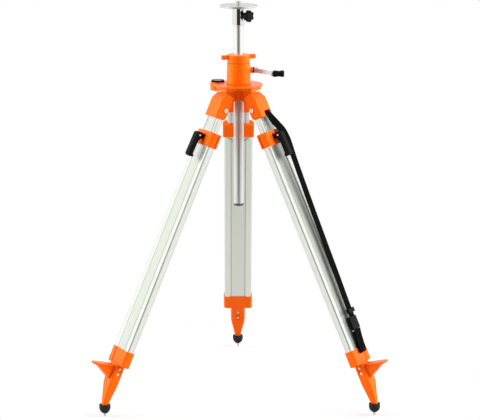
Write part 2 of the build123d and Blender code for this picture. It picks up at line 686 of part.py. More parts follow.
# Level glass: the domed vial
with BuildPart() as level_glass:
    vial_bottom = LEVEL_BOSS_Z[1] - LEVEL_CUP_DEPTH + LEVEL_FLOOR
    vial_top = LEVEL_RIM_TOP - LEVEL_DOME_DROP
    vial_edge = LEVEL_XY[0] + LEVEL_GLASS_R
    dome_r = (LEVEL_GLASS_R ** 2 + LEVEL_DOME ** 2) / (2 * LEVEL_DOME)
    with BuildSketch(Plane.XZ.offset(-LEVEL_XY[1])):
        with BuildLine():
            walls = Polyline((LEVEL_XY[0], vial_bottom), (vial_edge, vial_bottom), (vial_edge, vial_top))
            dome = RadiusArc(walls @ 1, (LEVEL_XY[0], vial_top + LEVEL_DOME), -dome_r)
            Line(dome @ 1, walls @ 0)
        make_face()
    revolve(axis=Axis((*LEVEL_XY, 0), (0, 0, 1)))
save(level_glass.part, "level_glass")

# Hinge pins: one through each yoke and tongue, headed at both ends
with BuildPart() as hinge_pins:
    for azimuth in LEG_AZIMUTH.values():
        upright = Plane.XZ.rotated((0, 0, azimuth))
        pin_half = YOKE_W / 2 + GAP
        with BuildSketch(upright):
            with Locations((HINGE_R, HINGE_Z)):
                Circle(PIN_D / 2)
        extrude(amount=pin_half + PIN_HEAD_T, both=True)
        for side in (-1, 1):
            with BuildSketch(upright.offset(side * pin_half)):
                with Locations((HINGE_R, HINGE_Z)):
                    Circle(PIN_HEAD_D / 2)
            extrude(amount=side * PIN_HEAD_T)
            with BuildSketch(upright.offset(side * (pin_half + PIN_HEAD_T))):
                with Locations((HINGE_R, HINGE_Z)):
                    Circle(PIN_DIMPLE[0] / 2)
            extrude(amount=-side * PIN_DIMPLE[1], mode=Mode.SUBTRACT)
save(hinge_pins.part, "hinge_pins")


def outer_section():
    """Outline of the outer profile: two rounded rails joined by a flatter web."""
    with BuildSketch(mode=Mode.PRIVATE) as section:
        with Locations((0, (OUTER_W - RAIL_W) / 2), (0, (RAIL_W - OUTER_W) / 2)):
            RectangleRounded(OUTER_T, RAIL_W, OUTER_CORNER)
        Rectangle(WEB_T, OUTER_W - RAIL_W)
    return section.sketch


def inner_section(clear=0.0):
    """Outline of the inner profile, opened out by a clearance."""
    with BuildSketch(mode=Mode.PRIVATE) as section:
        RectangleRounded(INNER_T + 2 * clear, INNER_W + 2 * clear, INNER_CORNER + clear)
    return section.sketch


def screw_places():
    """Planes on the two faces of a leg's top where the yoke screws go in, facing out."""
    places = []
    for side in (-1, 1):
        for across in (-SCREW_Y, SCREW_Y):
            spot = (side * INNER_T / 2, across, SCREW_Z)
            places.append(Plane(origin=spot, x_dir=(0, 1, 0), z_dir=(side, 0, 0)))
    return places


# Leg yoke: a forked casting that hangs on the hub's tongue and plugs into the inner profile
with BuildPart() as leg_yoke:
    with BuildSketch(Plane.XZ):
        with BuildLine():
            Polyline(
                (YOKE_IN, YOKE_BOTTOM),
                (YOKE_OUT, YOKE_BOTTOM),
                (YOKE_OUT, YOKE_SHOULDER),
                YOKE_CROWN,
                (YOKE_IN, YOKE_TOP_IN),
                close=True,
            )
        make_face()
        fillet(vertices().sort_by(Axis.Y)[-1], YOKE_ROUNDS[0])
        fillet(vertices().group_by(Axis.X)[-1].sort_by(Axis.Y)[-1], YOKE_ROUNDS[1])
        fillet(vertices().group_by(Axis.X)[0].sort_by(Axis.Y)[0], YOKE_ROUNDS[2])
    extrude(amount=YOKE_W / 2, both=True)
    cheeks = leg_yoke.faces().filter_by(Axis.Y)
    fillet(cheeks.edges(), YOKE_EDGE)
    with BuildSketch(Plane.XY.offset(-TONGUE_EYE_R - YOKE_SLOT_CLEAR)):
        with Locations((YOKE_IN - OVERCUT, 0)):
            slot_depth = tongue_edge + GAP - YOKE_IN + OVERCUT
            Rectangle(slot_depth, TONGUE_W + 2 * GAP, align=(Align.MIN, Align.CENTER))
    extrude(amount=YOKE_CROWN[1] + TONGUE_EYE_R + OVERCUT, mode=Mode.SUBTRACT)
    with BuildSketch(Plane.XZ):
        with Locations((-HINGE_INSET, 0)):
            Circle(PIN_D / 2 + RUN)
    extrude(amount=YOKE_W, both=True, mode=Mode.SUBTRACT)
    with BuildSketch(Plane.XY.offset(YOKE_BOTTOM - YOKE_SPIGOT)):
        add(inner_section(-INNER_WALL))
    extrude(amount=YOKE_SPIGOT)
    for face in screw_places():
        with BuildSketch(face):
            Circle(SCREW_D / 2)
        extrude(amount=-SCREW_LENGTH, mode=Mode.SUBTRACT)

# Inner profile: a flat tube with a shallow groove either side of the middle of each face
with BuildPart() as inner_profile:
    with BuildSketch(Plane.XY.offset(INNER_END)):
        add(inner_section())
        add(inner_section(-INNER_WALL), mode=Mode.SUBTRACT)
        groove_y, groove_w, groove_t = INNER_GROOVE
        for side in (-1, 1):
            with Locations((side * INNER_T / 2, groove_y), (side * INNER_T / 2, -groove_y)):
                Rectangle(2 * groove_t, groove_w, mode=Mode.SUBTRACT)
    extrude(amount=YOKE_BOTTOM - INNER_END)
    for face in screw_places():
        with BuildSketch(face):
            Circle(SCREW_D / 2)
        extrude(amount=-INNER_WALL, mode=Mode.SUBTRACT)

# Yoke screws: hold the inner profile on the yoke's spigot, two on each face
with BuildPart() as yoke_screws:
    for face in screw_places():
        with BuildSketch(face):
            Circle(SCREW_HEAD_D / 2)
        extrude(amount=SCREW_HEAD_T)
        with BuildSketch(face):
            Circle(SCREW_D / 2)
        extrude(amount=-SCREW_LENGTH)

# Slide block: a nylon foot on the inner profile that runs inside the outer one
with BuildPart() as slide_block:
    with BuildSketch(Plane.XY.offset(INNER_END - BLOCK_H)):
        RectangleRounded(BLOCK_T, BLOCK_W, BLOCK_CORNER)
    extrude(amount=BLOCK_H)
    with BuildSketch(Plane.XY.offset(INNER_END)):
        add(inner_section(-INNER_WALL))
    extrude(amount=BLOCK_PLUG)

# Outer profile: the sliding lower leg, notched for the clamp pad and arched at the back
with BuildPart() as outer_profile:
    with BuildSketch(Plane.XY.offset(OUTER_END)):
        add(outer_section())
        offset(outer_section(), amount=-OUTER_WALL, kind=Kind.INTERSECTION, mode=Mode.SUBTRACT)
    extrude(amount=OUTER_TOP - OUTER_END)
    with BuildSketch(Plane.YZ):
        with Locations((0, OUTER_TOP)):
            Rectangle(PAD_W + 2 * NOTCH_CLEAR, 2 * (OUTER_TOP - CAM_WINDOW_Z[0] + NOTCH_CLEAR))
    extrude(amount=OUTER_T, mode=Mode.SUBTRACT)
    with BuildSketch(Plane.YZ):
        with Locations((0, COLLAR_Z[0] - ARCH_DEPTH + ARCH_R)):
            Circle(ARCH_R)
    extrude(amount=-OUTER_T, mode=Mode.SUBTRACT)

def lug_side(clear=0.0):
    """Side view of the collar's lug, or of the room round it."""
    with BuildSketch() as side:
        with Locations(LEVER_PIN):
            Circle(LUG_R + clear)
        with Locations((COLLAR_T / 2 - LUG_LAP / 2, LEVER_PIN[1])):
            Rectangle(LUG_LAP, LUG_ROOT + 2 * clear)
        make_hull()
    return side.sketch


# Clamp collar: a grooved casting on the outer profile's top, with the lever's lug
cheek_y = (LUG_W + LEVER_W) / 4
with BuildPart() as clamp_collar:
    with BuildSketch(Plane.XY.offset(COLLAR_Z[0])):
        Rectangle(COLLAR_T, COLLAR_W)
        fillet(vertices().group_by(Axis.X)[-1], COLLAR_CORNERS[0])
        fillet(vertices().group_by(Axis.X)[0], COLLAR_CORNERS[1])
    extrude(amount=COLLAR_Z[1] - COLLAR_Z[0])
    fillet(clamp_collar.edges().group_by(Axis.Z)[-1], COLLAR_EDGES[0])
    fillet(clamp_collar.edges().group_by(Axis.Z)[0], COLLAR_EDGES[1])
    with BuildSketch(Plane.XZ):
        add(lug_side())
    extrude(amount=LUG_W / 2, both=True)
    with BuildSketch(Plane.XZ):
        with Locations(LEVER_PIN):
            Circle(LEVER_PIN_D / 2)
    extrude(amount=LUG_W, both=True, mode=Mode.SUBTRACT)
    with BuildSketch(Plane.XY.offset(COLLAR_Z[0])):
        add(inner_section(COLLAR_CLEAR))
    extrude(amount=COLLAR_Z[1] - COLLAR_Z[0], mode=Mode.SUBTRACT)
    with BuildSketch(Plane.XY.offset(COLLAR_Z[0])):
        add(outer_section())
    extrude(amount=OUTER_TOP - COLLAR_Z[0], mode=Mode.SUBTRACT)
    with BuildSketch(Plane.XY.offset(CAM_WINDOW_Z[0])):
        with Locations(((PAD_X[1] + PAD_CLEAR) / 2, 0)):
            Rectangle(PAD_X[1] + PAD_CLEAR, PAD_W + 2 * GAP)
        for side in (-1, 1):
            with Locations((COLLAR_T / 2, side * cheek_y)):
                Rectangle(2 * (COLLAR_T / 2 - PAD_X[1]), (LEVER_W - LUG_W) / 2 + CAM_WINDOW_CLEAR)
    extrude(amount=CAM_WINDOW_Z[1] - CAM_WINDOW_Z[0], mode=Mode.SUBTRACT)
    groove_mid = (COLLAR_GROOVE[0] + COLLAR_GROOVE[1]) / 2
    with BuildSketch(Plane.XY.offset(COLLAR_Z[0] - OVERCUT)):
        with Locations((groove_mid, COLLAR_W / 2), (groove_mid, -COLLAR_W / 2)):
            Rectangle(COLLAR_GROOVE[1] - COLLAR_GROOVE[0], 2 * COLLAR_GROOVE[2])
    extrude(amount=COLLAR_Z[1] - COLLAR_Z[0] + 2 * OVERCUT, mode=Mode.SUBTRACT)

# Clamp pad: the nylon plate and pushers that the lever's cams press on the inner profile
with BuildPart() as clamp_pad:
    with BuildSketch(Plane.XY.offset(PAD_Z[0])):
        with Locations(((PAD_X[0] + PAD_X[1]) / 2, 0)):
            Rectangle(PAD_X[1] - PAD_X[0], PAD_W)
    extrude(amount=PAD_Z[1] - PAD_Z[0])
    with BuildSketch(lateral(PAD_X[0], 0, LEVER_PIN[1])):
        with Locations((cheek_y, 0), (-cheek_y, 0)):
            Rectangle(PUSHER_W, PUSHER_H)
    extrude(amount=PUSHER_END - PAD_X[0])

# Lever pin: the steel pivot through the collar's lug and both cam cheeks
with BuildPart() as lever_pin:
    with BuildSketch(Plane.XZ):
        with Locations(LEVER_PIN):
            Circle(LEVER_PIN_D / 2)
    extrude(amount=LEVER_W / 2 + LEVER_PIN_PROUD, both=True)

# Clamp lever: two cam cheeks astride the lug and a handle with a hooked tip
with BuildPart() as clamp_lever:
    cam_centre = (LEVER_PIN[0] - CAM_OFFSET, LEVER_PIN[1])
    neck_share = (LEVER_TOP[1] - LEVER_PIN[1] + LEVER_NECK) / (LEVER_TOP[1] - LEVER_END[1])
    neck_x = LEVER_TOP[0] + neck_share * (LEVER_END[0] - LEVER_TOP[0])
    with BuildSketch(Plane.XZ):
        with Locations(cam_centre):
            Circle(CAM_R)
        with Locations(LEVER_TOP, (neck_x, LEVER_PIN[1] - LEVER_NECK)):
            Circle(LEVER_T / 2)
        make_hull()
    extrude(amount=LEVER_W / 2, both=True)
    with BuildSketch(Plane.XZ):
        with Locations(LEVER_TOP, LEVER_END):
            Circle(LEVER_T / 2)
        make_hull()
    extrude(amount=LEVER_W / 2, both=True)
    with BuildSketch(Plane.XZ):
        with Locations(LEVER_END):
            Circle(LEVER_T / 2)
        with Locations(LEVER_HOOK[:2]):
            Circle(LEVER_HOOK[2])
        make_hull()
    extrude(amount=LEVER_W / 2, both=True)
    fillet(clamp_lever.faces().filter_by(Axis.Y).edges(), LEVER_EDGE)
    with BuildSketch(Plane.XZ):
        add(lug_side(LEVER_FORK_CLEAR))
        with Locations((LEVER_PIN[0], LEVER_PIN[1] + LEVER_FORK_OPEN + CAM_R)):
            Rectangle(4 * CAM_R, 2 * CAM_R)
    extrude(amount=LEVER_FORK / 2, both=True, mode=Mode.SUBTRACT)
    with BuildSketch(Plane.XZ):
        with Locations(LEVER_PIN):
            Circle(LEVER_PIN_D / 2 + RUN)
    extrude(amount=LEVER_W, both=True, mode=Mode.SUBTRACT)

def leg_coordinates(radius, height):
    """Place in a leg's side view of a radius and height in its upright plane."""
    out = radius - LEG_R
    up = height - LEG_Z
    return out * COS + up * SIN, up * COS - out * SIN


def foot_plane(height):
    """A level plane on the foot's upright axis, seen from the leg's frame."""
    x, z = leg_coordinates(FOOT_REACH, height)
    return Plane(origin=(x, 0, z), x_dir=(0, 1, 0), z_dir=(SIN, 0, COS))


# Leg shoe: a socket on the outer profile, a body that bends upright and a treadle
with BuildPart() as leg_shoe:
    with BuildSketch(Plane.XY.offset(SOCKET_Z[0])):
        RectangleRounded(SOCKET_T, SOCKET_W, SOCKET_CORNERS)
    extrude(amount=SOCKET_Z[1] - SOCKET_Z[0])
    fillet(leg_shoe.faces().sort_by(Axis.Z)[0].edges(), SOCKET_EDGE)
    panel_w, panel_t = SOCKET_PANEL
    with BuildSketch(Plane.XY.offset(SOCKET_Z[0])):
        with Locations((SOCKET_T / 2, 0)):
            Rectangle(2 * panel_t, panel_w)
    extrude(amount=SOCKET_Z[1] - SOCKET_Z[0], mode=Mode.SUBTRACT)
    straight = [(SOCKET_Z[0] + SOCKET_EDGE, *SHOE_X, SHOE_W), (SHOE_STRAIGHT, *SHOE_X, SHOE_W)]
    for height, inner, outer, wide in straight + SHOE_TAPER:
        with BuildSketch(Plane.XY.offset(height)):
            with Locations(((inner + outer) / 2, 0)):
                RectangleRounded(outer - inner, wide, SHOE_CORNER)
    loft(ruled=True)
    split(bisect_by=foot_plane(FOOT_Z[0] + GAP), keep=Keep.TOP)
    with BuildSketch(Plane.XZ):
        Polygon(
            PEDAL_ROOT,
            PEDAL_TIP,
            (PEDAL_TIP[0], PEDAL_TIP[1] - PEDAL_T),
            (PEDAL_ROOT[0], PEDAL_ROOT[1] - PEDAL_T),
            align=None,
        )
    extrude(amount=PEDAL_W / 2, both=True)
    tip_corners = leg_shoe.edges().group_by(Axis.X)[-1].filter_by(Axis.Y, reverse=True)
    fillet(tip_corners, PEDAL_CORNER)
    with BuildSketch(Plane.XZ):
        Polygon(
            (PEDAL_ROOT[0], PEDAL_ROOT[1] - PEDAL_T / 2),
            (PEDAL_TIP[0] - PEDAL_CORNER, PEDAL_TIP[1] - PEDAL_T / 2),
            GUSSET_FOOT,
            align=None,
        )
    extrude(amount=GUSSET_W / 2, both=True)
    recess_w, recess_h, recess_t = RECESS
    for side in (-1, 1):
        flank = (0, side * SHOE_W / 2, RECESS_Z)
        with BuildSketch(Plane(origin=flank, x_dir=(1, 0, 0), z_dir=(0, side, 0))):
            RectangleRounded(recess_w, recess_h, RECESS_CORNER)
        extrude(amount=-recess_t, mode=Mode.SUBTRACT)
    with BuildSketch(Plane(origin=(SHOE_X[0], 0, BACK_RECESS_Z), x_dir=(0, 1, 0), z_dir=(-1, 0, 0))):
        RectangleRounded(recess_w, BACK_RECESS_H, RECESS_CORNER)
    extrude(amount=-recess_t, mode=Mode.SUBTRACT)
    with BuildSketch(Plane.XY.offset(OUTER_END)):
        add(outer_section())
    extrude(amount=SOCKET_Z[1] - OUTER_END, mode=Mode.SUBTRACT)
    with BuildSketch(foot_plane(FOOT_Z[0])):
        Circle(SPIKE_D / 2)
    extrude(amount=SPIKE_TOP - FOOT_Z[0], mode=Mode.SUBTRACT)

# Foot spike: a steel point, worn flat where it meets the floor
with BuildPart() as foot_spike:
    with BuildSketch(Plane.XZ):
        Polygon(
            (0, SPIKE_TOP),
            (SPIKE_D / 2, SPIKE_TOP),
            (SPIKE_D / 2, SPIKE_TAPER),
            (SPIKE_TIP_D / 2, 0),
            (0, 0),
            align=None,
        )
    revolve(axis=Axis.Z)

# Rubber foot: a flat-topped dome that slides on the spike
foot_r = FOOT_D / 2
hole_r = SPIKE_D / 2 + RUN
with BuildPart() as rubber_foot:
    with BuildSketch(Plane.XZ):
        with BuildLine():
            hole = Line((hole_r, FOOT_Z[3]), (hole_r, FOOT_Z[0]))
            top = Polyline(hole @ 1, (foot_r, FOOT_Z[0]), (foot_r, FOOT_Z[1]))
            dome = ThreePointArc(top @ 1, (FOOT_DOME_R[0], FOOT_Z[2]), (FOOT_DOME_R[1], FOOT_Z[3]))
            Line(dome @ 1, hole @ 0)
        make_face()
        fillet(vertices().group_by(Axis.Y)[-1].sort_by(Axis.X)[-1], FOOT_EDGE)
    revolve(axis=Axis.Z)

leg_pieces = {
    "yoke": leg_yoke,
    "inner_profile": inner_profile,
    "yoke_screws": yoke_screws,
    "slide_block": slide_block,
    "outer_profile": outer_profile,
    "clamp_collar": clamp_collar,
    "clamp_pad": clamp_pad,
    "lever_pin": lever_pin,
    "clamp_lever": clamp_lever,
    "shoe": leg_shoe,
}
foot_pieces = {"spike": foot_spike, "rubber_foot": rubber_foot}
for leg, azimuth in LEG_AZIMUTH.items():
    for name, piece in leg_pieces.items():
        save(piece.part.moved(leg_place(azimuth)), f"{leg}_{name}")
    for name, piece in foot_pieces.items():
        save(piece.part.moved(foot_place(azimuth)), f"{leg}_{name}")

# Carry strap: webbing from the yoke down the outside of one leg
with BuildPart() as carry_strap:
    for out, across, height in STRAP_ROUTE:
        with BuildSketch(Plane.XY.offset(height)):
            with Locations((out, across)):
                Rectangle(STRAP_T, STRAP_W)
    loft(ruled=True)

# Strap slider: the flat bar that sets the strap's length
slider_t, slider_w, slider_h = SLIDER_SIZE
with BuildPart() as strap_slider:
    with BuildSketch(Plane.XY.offset(SLIDER_Z - slider_h / 2)):
        with Locations(SLIDER_XY):
            RectangleRounded(slider_t, slider_w, SLIDER_CORNER)
        with Locations((SLIDER_SLOT_X, SLIDER_XY[1])):
            Rectangle(*SLIDER_SLOT, mode=Mode.SUBTRACT)
    extrude(amount=slider_h)

# Strap buckle: a flat clip between the strap and its lower tab
with BuildPart() as strap_buckle:
    with BuildSketch(Plane.XY.offset(BUCKLE_Z[0])):
        with Locations(((BUCKLE_X[0] + BUCKLE_X[1]) / 2, BUCKLE_Y)):
            RectangleRounded(BUCKLE_X[1] - BUCKLE_X[0], BUCKLE_W, BUCKLE_CORNER)
    extrude(amount=BUCKLE_Z[1] - BUCKLE_Z[0])
    fillet(strap_buckle.edges().group_by(Axis.Z)[-1], BUCKLE_EDGE)
    fillet(strap_buckle.edges().group_by(Axis.Z)[0], BUCKLE_EDGE)

# Strap tab: the wider webbing that ties the buckle to the shoe
with BuildPart() as strap_tab:
    for out, across, height in TAB_ROUTE:
        with BuildSketch(Plane.XY.offset(height)):
            with Locations((out, across)):
                Rectangle(TAB_T, TAB_W)
    loft(ruled=True)

strap_place = leg_place(LEG_AZIMUTH[STRAP_LEG])
strap_pieces = {
    "carry_strap": carry_strap,
    "strap_slider": strap_slider,
    "strap_buckle": strap_buckle,
    "strap_tab": strap_tab,
}
for name, piece in strap_pieces.items():
    save(piece.part.moved(strap_place), name)
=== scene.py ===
import math
import random

import bpy
from mathutils import Matrix, Vector


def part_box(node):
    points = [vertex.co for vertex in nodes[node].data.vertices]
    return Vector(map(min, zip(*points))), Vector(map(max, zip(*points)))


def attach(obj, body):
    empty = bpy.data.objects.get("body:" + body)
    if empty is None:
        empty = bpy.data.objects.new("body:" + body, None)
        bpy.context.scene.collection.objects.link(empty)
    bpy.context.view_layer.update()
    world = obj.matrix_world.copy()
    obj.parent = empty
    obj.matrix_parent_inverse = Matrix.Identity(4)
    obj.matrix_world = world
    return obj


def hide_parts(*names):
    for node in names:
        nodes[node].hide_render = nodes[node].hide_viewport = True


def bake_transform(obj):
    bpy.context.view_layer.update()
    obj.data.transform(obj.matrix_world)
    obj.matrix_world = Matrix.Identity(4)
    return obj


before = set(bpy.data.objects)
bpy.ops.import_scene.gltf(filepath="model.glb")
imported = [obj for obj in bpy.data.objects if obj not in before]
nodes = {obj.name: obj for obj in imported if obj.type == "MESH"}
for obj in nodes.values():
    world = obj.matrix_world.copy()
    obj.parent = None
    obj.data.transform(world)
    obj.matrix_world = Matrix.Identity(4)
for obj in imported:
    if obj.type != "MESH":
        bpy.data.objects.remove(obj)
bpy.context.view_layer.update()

# Studio: a pale round floor in a tent of white light, with a softbox on each side of the tripod.
# Gloss mirrors the plain tent, with a slim bright strip on each side and a dark gap behind the camera.
# The camera is a long lens 5.7 m away that looks 13 degrees down, placed from points of the photograph.
scene = bpy.context.scene
scene.view_settings.view_transform = "Standard"

CAMERA_STAND = (0.0039, -5.711, 1.945)
CAMERA_PITCH = math.radians(13.086)
CAMERA_ROLL = math.radians(0.081)
TRIPOD_TURN = math.radians(0.519)
camera = bpy.data.objects.new("camera", bpy.data.cameras.new("camera"))
camera.data.sensor_width = 36.0
camera.data.lens = 135.0
round_tripod = Matrix.Rotation(-TRIPOD_TURN, 4, "Z")
tilt = Matrix.Rotation(math.pi / 2 - CAMERA_PITCH, 4, "X") @ Matrix.Rotation(-CAMERA_ROLL, 4, "Z")
camera.location = round_tripod @ Vector(CAMERA_STAND)
camera.rotation_euler = (round_tripod @ tilt).to_euler()
scene.collection.objects.link(camera)
scene.camera = camera


def finish(name, values):
    """A node material whose main shader gets these plain values."""
    material = bpy.data.materials.new(name)
    material.use_nodes = True
    shader = material.node_tree.nodes["Principled BSDF"]
    for socket, value in values.items():
        shader.inputs[socket].default_value = value
    return material


def put(tree, kind, values=None, **settings):
    """One more node in a tree, with its settings and its plain input values."""
    made = tree.nodes.new(kind)
    for key, value in settings.items():
        setattr(made, key, value)
    for socket, value in (values or {}).items():
        made.inputs[socket].default_value = value
    return made


def join(tree, *pairs):
    """Links each output to its input."""
    for output, target in pairs:
        tree.links.new(output, target)


def ring_at(radius, height, around):
    """A level ring of points round the Z axis."""
    turns = [2 * math.pi * i / around for i in range(around)]
    return [(radius * math.cos(a), radius * math.sin(a), height) for a in turns]


FLOOR_RADIUS = 1.6
FLOOR_SIDES = 96
FLOOR_SEEN = (0.66, 0.82)  # it fades out between these, to hide little of a leg that reaches below it
FLOOR_LIFT_SEEN = 0.36
FLOOR_LIFT_MIRRORED = 0.15
floor_white = finish("floor_white", {
    "Base Color": (0.5, 0.5, 0.5, 1), "Roughness": 0.9, "Specular IOR Level": 0.0,
    "Emission Color": (1, 1, 1, 1),
})
tree = floor_white.node_tree
rays = put(tree, "ShaderNodeLightPath")
seen = put(tree, "ShaderNodeMath", {1: FLOOR_LIFT_SEEN}, operation="MULTIPLY")
mirrored = put(tree, "ShaderNodeMath", {1: FLOOR_LIFT_MIRRORED}, operation="MULTIPLY")
lift = put(tree, "ShaderNodeMath", operation="ADD")
join(tree, (rays.outputs["Is Camera Ray"], seen.inputs[0]))
join(tree, (rays.outputs["Is Glossy Ray"], mirrored.inputs[0]))
join(tree, (seen.outputs[0], lift.inputs[0]), (mirrored.outputs[0], lift.inputs[1]))
join(tree, (lift.outputs[0], tree.nodes["Principled BSDF"].inputs["Emission Strength"]))
spot = put(tree, "ShaderNodeTexCoord")
reach = put(tree, "ShaderNodeVectorMath", operation="LENGTH")
rim_fade = put(tree, "ShaderNodeMapRange", {"From Min": FLOOR_SEEN[0], "From Max": FLOOR_SEEN[1]},
               interpolation_type="SMOOTHSTEP")
unseen = put(tree, "ShaderNodeMath", operation="MULTIPLY")
clear = put(tree, "ShaderNodeBsdfTransparent")
cover = put(tree, "ShaderNodeMixShader")
join(tree, (spot.outputs["Object"], reach.inputs[0]), (reach.outputs["Value"], rim_fade.inputs[0]))
join(tree, (rim_fade.outputs[0], unseen.inputs[0]), (rays.outputs["Is Camera Ray"], unseen.inputs[1]))
join(tree, (unseen.outputs[0], cover.inputs[0]), (tree.nodes["Principled BSDF"].outputs[0], cover.inputs[1]))
join(tree, (clear.outputs[0], cover.inputs[2]), (cover.outputs[0], tree.nodes["Material Output"].inputs[0]))
floor_mesh = bpy.data.meshes.new("studio_floor")
floor_mesh.from_pydata(ring_at(FLOOR_RADIUS, 0, FLOOR_SIDES), [], [tuple(range(FLOOR_SIDES))])
floor_mesh.materials.append(floor_white)
floor = bpy.data.objects.new("studio_floor", floor_mesh)
scene.collection.objects.link(floor)

TENT_LEVEL = 0.50
TENT_MIRRORED = 0.93
GAP_LEVEL = 0.03
SOFTBOXES = [  # the way to each, the cosines of its edge and of its full part, and its level
    ((-0.95, 0.02, 0.28), 0.84, 0.90, 6.8),
    ((0.95, -0.06, 0.28), 0.84, 0.90, 7.4),
]
GAP_AND_STRIPS = [
    ((0.0, -0.974, -0.2256), 0.84, 0.87, GAP_LEVEL - TENT_MIRRORED),
    ((-0.93, -0.30, 0.22), 0.955, 0.985, 1.3),
    ((0.93, -0.30, 0.22), 0.955, 0.985, 1.3),
]
MIX_A, MIX_B = 2, 3  # sockets of a Mix node's two values
tent = bpy.data.worlds.new("light_tent")
tent.use_nodes = True
scene.world = tent
tree = tent.node_tree
tree.nodes.clear()
toward = put(tree, "ShaderNodeTexCoord").outputs["Generated"]
rays = put(tree, "ShaderNodeLightPath")


def sky(tree, toward, level, patches):
    """A sky of one level with round patches added to it."""
    total = None
    for direction, edge, full, glow in patches:
        aim = put(tree, "ShaderNodeVectorMath", {1: Vector(direction).normalized()}, operation="DOT_PRODUCT")
        fade = put(tree, "ShaderNodeMapRange", {"From Min": edge, "From Max": full, "To Max": glow},
                   interpolation_type="SMOOTHSTEP")
        added = put(tree, "ShaderNodeMath", {0: level}, operation="ADD")
        join(tree, (toward, aim.inputs[0]), (aim.outputs["Value"], fade.inputs[0]))
        join(tree, (fade.outputs[0], added.inputs[1]))
        if total is not None:
            join(tree, (total, added.inputs[0]))
        total = added.outputs[0]
    return total


shed = sky(tree, toward, TENT_LEVEL, SOFTBOXES)
mirrored = sky(tree, toward, TENT_MIRRORED, GAP_AND_STRIPS)
strength = put(tree, "ShaderNodeMix")
join(tree, (rays.outputs["Is Glossy Ray"], strength.inputs[0]))
join(tree, (shed, strength.inputs[MIX_A]), (mirrored, strength.inputs[MIX_B]))
lit = put(tree, "ShaderNodeBackground", {"Color": (1, 1, 1, 1)})
plain = put(tree, "ShaderNodeBackground", {"Color": (1, 1, 1, 1), "Strength": 1.0})
through = put(tree, "ShaderNodeMath", operation="MAXIMUM")
backdrop = put(tree, "ShaderNodeMixShader")
out = put(tree, "ShaderNodeOutputWorld")
join(tree, (rays.outputs["Is Camera Ray"], through.inputs[0]))
join(tree, (rays.outputs["Is Transmission Ray"], through.inputs[1]))
join(tree, (strength.outputs[0], lit.inputs["Strength"]), (through.outputs[0], backdrop.inputs[0]))
join(tree, (lit.outputs[0], backdrop.inputs[1]), (plain.outputs[0], backdrop.inputs[2]))
join(tree, (backdrop.outputs[0], out.inputs[0]))

# Hub casting: the flange, body and hinge tongues, cast in aluminium and sprayed with gloss orange enamel.
# The enamel has a faint orange-peel skin over the cast grain, and it is a little redder where it lies thick.


def place_of(material):
    """The piece's own coordinates, in metres."""
    return put(material.node_tree, "ShaderNodeTexCoord").outputs["Object"]


def relief(material, scale, detail, rough, bump):
    """Noise that moves a finish's roughness between two values and raises a fine skin on it."""
    tree = material.node_tree
    shader = tree.nodes["Principled BSDF"]
    noise = put(tree, "ShaderNodeTexNoise", {"Scale": scale, "Detail": detail})
    spread = put(tree, "ShaderNodeMapRange", {"To Min": rough[0], "To Max": rough[1]})
    skin = put(tree, "ShaderNodeBump", {"Strength": bump[0], "Distance": bump[1]})
    join(tree, (place_of(material), noise.inputs["Vector"]), (noise.outputs[0], spread.inputs[0]))
    join(tree, (spread.outputs[0], shader.inputs["Roughness"]), (noise.outputs[0], skin.inputs["Height"]))
    join(tree, (skin.outputs[0], shader.inputs["Normal"]))


COLOUR_A, COLOUR_B, COLOUR_OUT = 6, 7, 2  # sockets of a Mix node's two colours and of its result


def colour_mix(tree, first, second):
    """A node that mixes two plain colours."""
    return put(tree, "ShaderNodeMix", {COLOUR_A: (*first, 1), COLOUR_B: (*second, 1)}, data_type="RGBA")


def two_tone(material, scale, first, second):
    """Slow drift between two colours over a finish."""
    tree = material.node_tree
    shader = tree.nodes["Principled BSDF"]
    drift = put(tree, "ShaderNodeTexNoise", {"Scale": scale, "Detail": 3.0})
    mix = colour_mix(tree, first, second)
    join(tree, (place_of(material), drift.inputs["Vector"]), (drift.outputs[0], mix.inputs[0]))
    join(tree, (mix.outputs[COLOUR_OUT], shader.inputs["Base Color"]))


ENAMEL_THICK = (0.93, 0.105, 0.001)
ENAMEL_THIN = (0.95, 0.135, 0.002)


def orange_enamel(name, specular, tint, coat):
    """Orange enamel of one gloss."""
    enamel = finish(name, {
        "IOR": 1.5, "Specular IOR Level": specular, "Specular Tint": (*tint, 1), "Coat Weight": coat,
        "Coat Roughness": 0.06, "Coat IOR": 1.5,
    })
    relief(enamel, scale=420.0, detail=3.0, rough=(0.22, 0.32), bump=(0.10, 0.0004))
    two_tone(enamel, scale=26.0, first=ENAMEL_THICK, second=ENAMEL_THIN)
    return enamel


gloss_enamel = orange_enamel("gloss_enamel", specular=0.5, tint=(1.0, 0.88, 0.10), coat=0.04)


def dress(material, *names):
    """Gives CAD nodes a finish."""
    for name in names:
        nodes[name].data.materials.clear()
        nodes[name].data.materials.append(material)


dress(gloss_enamel, "hub_casting")

# Guide bush and clamp collet: turned from natural nylon, pressed into the hub and the housing.
# Only their ends show, as an off-white ring round the mast.
natural_nylon = finish("natural_nylon", {"Subsurface Weight": 0.1, "Subsurface Scale": 0.004})
relief(natural_nylon, scale=900.0, detail=4.0, rough=(0.42, 0.55), bump=(0.12, 0.0003))
two_tone(natural_nylon, scale=60.0, first=(0.72, 0.69, 0.6), second=(0.78, 0.75, 0.67))
dress(natural_nylon, "guide_bush", "clamp_collet")

# Level: a black moulded cup with a domed vial of dark green spirit, screwed into a boss on the flange.
# The vial carries a printed ring, and its bubble rests at the middle of the dome.
moulded_black = finish("moulded_black", {"IOR": 1.46, "Specular IOR Level": 0.1})
relief(moulded_black, scale=1500.0, detail=5.0, rough=(0.34, 0.5), bump=(0.22, 0.00025))
two_tone(moulded_black, scale=70.0, first=(0.002, 0.002, 0.002), second=(0.0045, 0.0045, 0.0045))
dress(moulded_black, "level_body")

